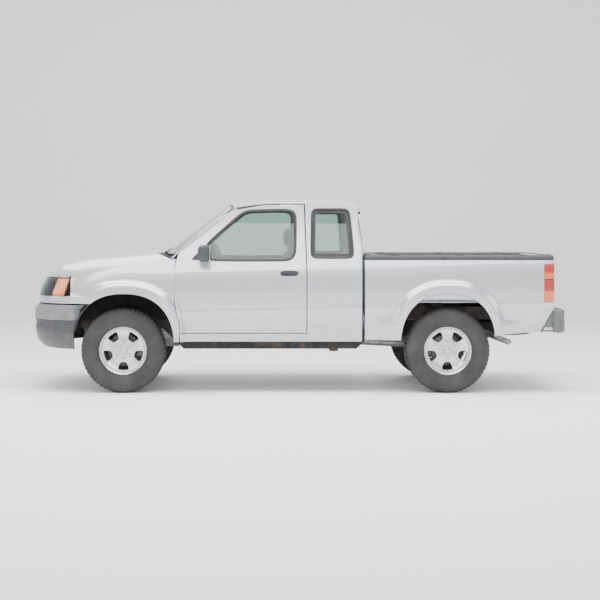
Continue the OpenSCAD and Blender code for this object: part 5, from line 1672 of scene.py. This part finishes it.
firstSeat = True
for side, word in ((1, "Left"), (-1, "Right")):
    for kind, (outline, half, radius, node) in padShapes.items():
        piece = padPiece("seat" + kind + word, outline, half, radius, side)
        soft = simulate(piece)
        bpy.data.objects.remove(piece)
        soft.name = "seat" + kind + word
        mesh = soft.data
        bm = bmesh.new()
        bm.from_mesh(mesh)
        bmesh.ops.smooth_vert(bm, verts=bm.verts, factor=0.5, use_axis_x=True, use_axis_y=True, use_axis_z=True)
        bm.to_mesh(mesh)
        bm.free()
        channels(mesh, kind)
        mesh.materials.clear()
        mesh.materials.append(seatCloth)
        mesh.shade_smooth()
        keep(soft, "truck", "seat_fabric", *(["seats"] if firstSeat else []))
        firstSeat = False
    for y in (-52, 52):
        keep(tube("restPost%s%d" % (word, y > 0), [point(1520, seat["across"] + y, z, side) for z in (1270, 1322)],
            6, chrome, 14), "truck", "chassis_black")
    for k, y in enumerate((-190, 190)):
        at = seat["across"] + y
        low, high = point(1400, at - 18, 568, side), point(1030, at + 18, 604, side)
        keep(softBox("seatRail%s%d" % (word, k), tuple(map(min, low, high)), tuple(map(max, low, high)), 0.006,
            steel), "truck", "chassis_black")
    for k, y in enumerate((-240, 228)):
        keep(prism("seatHinge%s%d" % (word, k),
            evenly(rounded([(1380, 640), (1470, 640), (1520, 760), (1510, 880), (1460, 880), (1420, 760)], 0.3, 3), 48),
                   seat["across"] + y, seat["across"] + y + 14, trimPlastic, side, 5), "truck", "dash")

# dashboard, wheel and cab trim
print("cabin")
dash = {"half": 684, "outline": [(562, 862), (562, 1186), (600, 1204), (680, 1213), (760, 1200), (798, 1178), (812,
    1150), (818, 1110), (832, 1082), (836, 1040), (800, 900), (778, 862)]}
core = prism("dashCore", evenly(rounded(dash["outline"], 0.3, 3), 110), -dash["half"], dash["half"], dashPlastic, 1, 12)
cutters = [softBox("cut", point(860, -120, 905), point(790, 120, 1060), 0.006, None)]
core = cutAway(core, cutters, 30)
keep(core, "truck", "dash", "dashboard")
hoodOutline = evenly(rounded([(660, 1200), (700, 1262), (800, 1258), (838, 1200), (826, 1150), (700, 1150)], 0.34,
    3), 60)
keep(prism("clusterHood", hoodOutline, 200, 540, dashPlastic, 1, 14), "truck", "dash")
keep(softBox("clusterFace", point(842, 225, 1145), point(832, 515, 1225), 0.003, blackTrim), "truck", "dash")
for k, (y, r) in enumerate(((300, 34), (370, 42), (440, 34))):
    ring = lathe("gauge%d" % k, [(0, 0), (r - 5, 0), (r - 3, 3), (r, 4), (r + 1, 0), (r, -3), (0, -3)], trimPlastic,
        40, closed=False)
    ring.data.transform(Matrix.Translation(point(842, y, 1186)) @ Matrix.Rotation(math.radians(90), 4, "Z"))
    keep(ring, "truck", "dash")
keep(softBox("radio", point(842, -88, 985), point(800, 88, 1048), 0.003, blackTrim), "truck", "dash")
for k in range(3):
    knob = lathe("heaterKnob%d" % k, [(0, 16), (13, 15), (16, 12), (17, 0), (19, -2), (0, -2)], trimPlastic, 32,
        closed=False)
    knob.data.transform(Matrix.Translation(point(828, -60 + 60 * k, 940)) @ Matrix.Rotation(math.radians(90), 4, "Z"))
    keep(knob, "truck", "dash")
for k, (a, b) in enumerate(((-640, -520), (-200, -110), (110, 195), (545, 645))):
    frameBox = softBox("ventFrame%d" % k, point(842, a, 1090), point(816, b, 1150), 0.006, trimPlastic)
    keep(frameBox, "truck", "dash")
    slats = [softBox("s", point(846, a + 8, z), point(838, b - 8, z + 4), 0.001, blackTrim, 1) for z in range(1098,
        1142, 9)]
    keep(joined("ventSlats%d" % k, slats), "truck", "dash")
lid = softBox("gloveLid", point(826, -600, 905), point(812, -270, 1050), 0.008, dashPlastic)
keep(lid, "truck", "dash")
keep(tube("steeringColumn", [(0.93 - 0.0, 0.370, 1.076), (0.80, 0.370, 1.115), (0.735, 0.370, 1.152)], 36,
    trimPlastic, 32), "truck", "dash")

rim = {"radius": 178, "grip": 14.5, "centre": Vector((axleX - 0.9, 0.370, 1.188)), "axis": Vector((-0.883, 0, 0.469))}
ringPath = [(rim["radius"] / 1000 * math.cos(a), rim["radius"] / 1000 * math.sin(a), 0) for a in spread(0,
    2 * math.pi, 96)[:-1]]
turn = rim["axis"].to_track_quat("Z", "Y").to_matrix().to_4x4()
place = Matrix.Translation(rim["centre"]) @ turn
ring = tube("steeringRing", ringPath, rim["grip"], trimPlastic, 20, closed=True)
parts = [ring]
for a in (180, 0, 235, 305):
    r = math.radians(a)
    d = Vector((math.cos(r), math.sin(r), 0))
    parts.append(tube("steeringSpoke%d" % a, [d * 0.045 + Vector((0, 0, -0.012)), d * 0.11 + Vector((0, 0, -0.01)),
        d * 0.172], 12, trimPlastic, 16, flat=0.62))
boss = lathe("steeringBoss", [(0, 20), (40, 18), (60, 10), (64, 0), (60, -14), (44, -26), (36, -30), (0, -30)],
    trimPlastic, 64, closed=False)
boss.data.transform(Matrix.Rotation(math.radians(90), 4, "X"))
parts.append(boss)
for k, piece in enumerate(parts):
    piece.data.transform(place @ Matrix.Rotation(math.radians(90), 4, "Z"))
    keep(piece, "steering_wheel", "trim_black", *(["steering_wheel"] if k == 0 else []))

for side, word in ((1, "left"), (-1, "right")):
    name = word.title()
    rows = [[(s, plainY(s, z) - 66 - (6 if 800 < z < 1120 else 0), z) for s in [doorFront(z) + 50] + spread(620,
        1500, 10) + [1545]] for z in [560, 620, 700, 795, 805, 860, 960, 1060, 1118, 1126, 1165, 1176]]
    back = [[(s, y + 8, z) for s, y, z in row] for row in rows]
    keep(plate("doorTrim" + name, [[(s, y + 8, z) for s, y, z in row] for row in rows], rows, trimPlastic, 2, side),
        "door_" + word, "trim_black")
    low, high = point(1420, plainY(1000, 960) - 118, 940, side), point(900, plainY(1000, 960) - 70, 986, side)
    keep(softBox("armRest" + name, tuple(map(min, low, high)), tuple(map(max, low, high)), 0.018, trimPlastic, 4),
        "door_" + word, "trim_black")
keep(softBox("cabinMirror", point(830, -112, 1478), point(816, 112, 1536), 0.008, blackTrim, 4), "truck", "trim_black")
keep(softBox("cabinMirrorFace", point(833, -106, 1483), point(829, 106, 1531), 0.002, mirrorFace), "truck",
    "trim_black")
keep(tube("cabinMirrorArm", [point(818, 0, 1520), point(800, 0, 1552), point(790, 0, 1566)], 7, blackTrim, 12),
    "truck", "trim_black")
keep(tube("gearLever", [point(980, 0, 600), point(985, 0, 760), point(1010, 0, 850)], 8, steel, 16), "truck",
    "trim_black")
keep(softBox("gearKnob", point(1036, -24, 838), point(988, 24, 890), 0.02, blackTrim, 5), "truck", "trim_black")
mat = [[(s, y, 587 + 2.5 * math.sin(s / 9) * 0.3) for y in spread(-684, 684, 40)] for s in spread(566, 2116, 60)]
keep(plate("cabCarpet", mat, [[(s, y, z - 8) for s, y, z in row] for row in mat], carpet, 1), "truck", "trim_black")


# finishes for the parts that show as they were drawn
plain = {
    "frame_rails": underPaint, "engine": castIron, "gearbox": castAlloy, "drive_shafts": steel, "rear_axle": underPaint,
    "leaf_springs": underPaint, "front_suspension": underPaint, "exhaust": steel, "fuel_tank": underPaint,
        "inner_fenders": liner,
    "cab_floor": carpet, "dashboard": dashPlastic, "knuckle_left": castIron, "knuckle_right": castIron,
        "bed_tub": paint,
    "spare_wheel": tyreRubber, "grille": chrome, "headlights": reflector, "tail_lights": redLens,
        "bed_rail_caps": charcoal,
    "tailgate": paint, "steering_wheel": dashPlastic, "seats": seatCloth, "mirror_left": charcoal,
        "mirror_right": charcoal,
}
for name, node in frame["nodes"].items():
    if not node.hide_render:
        node.data.materials.clear()
        node.data.materials.append(alloy if name.startswith("rim") else tyreRubber if name.startswith("tyre") else plain.get(name, underPaint))

# floor, light and camera
print("stage")
groundGraph = Graph("paleFloor")
groundGraph.surface(Base_Color=groundGraph.tint(groundGraph.noise(1.3, 4.0), (0.93, 0.93, 0.93), (0.96, 0.96,
    0.96)), Roughness=0.7,
                             Normal=groundGraph.bump(groundGraph.noise(160.0, 4.0), 0.0004, 0.3))
ground = groundGraph.material
floorMesh = bpy.data.meshes.new("studioFloor")
profile = [(14, 0)] + [(-9 - 4 * math.sin(a), 4 - 4 * math.cos(a)) for a in spread(0, math.pi / 2, 24)] + [(-13, 16)]
verts = [(x, y, z) for y, z in profile for x in (-34, 34)]
floorMesh.from_pydata(verts, [], [(2 * i, 2 * i + 1, 2 * i + 3, 2 * i + 2) for i in range(len(profile) - 1)])
floor = wrapMesh("studioFloor", floorMesh, ground, 60)

world = bpy.data.worlds.new("studio")
bpy.context.scene.world = world
world.use_nodes = True
world.node_tree.nodes["Background"].inputs[0].default_value = (0.93, 0.95, 1.0, 1)
world.node_tree.nodes["Background"].inputs[1].default_value = 1.0


def softLight(name, place, target, size, power, colour=(1, 1, 1)):
    data = bpy.data.lights.new(name, "AREA")
    data.shape, data.size, data.size_y, data.energy, data.color = "RECTANGLE", size[0], size[1], power, colour
    made = bpy.data.objects.new(name, data)
    made.location = place
    made.rotation_mode = "QUATERNION"
    made.rotation_quaternion = (Vector(target) - Vector(place)).to_track_quat("-Z", "Y")
    bpy.context.scene.collection.objects.link(made)
    return made


softLight("overhead", (0, 1.5, 7.0), (0, 0, 0.6), (9, 5), 1150)
softLight("sideSoft", (1.0, 9.0, 5.0), (0, 0, 0.8), (10, 3.5), 520)
softLight("noseSoft", (8.0, 2.0, 3.2), (0.5, 0, 0.8), (4, 3), 160)
softLight("tailSoft", (-8.0, 2.0, 3.6), (-0.5, 0, 0.8), (4, 3), 160)
softLight("farSoft", (0.0, -8.5, 5.0), (0, 0, 0.8), (9, 3.5), 260)

cameraData = bpy.data.cameras.new("camera")
cameraData.sensor_width = 36
cameraData.lens = 89.3
cameraData.shift_x = 0.07
cameraData.shift_y = -0.123
cameraData.clip_end = 200
cameraData.dof.use_dof = False
camera = bpy.data.objects.new("camera", cameraData)
camera.location = (0.354, 14.34, 1.515)
camera.rotation_euler = (math.radians(90), 0, math.radians(180))
bpy.context.scene.collection.objects.link(camera)
bpy.context.scene.camera = camera
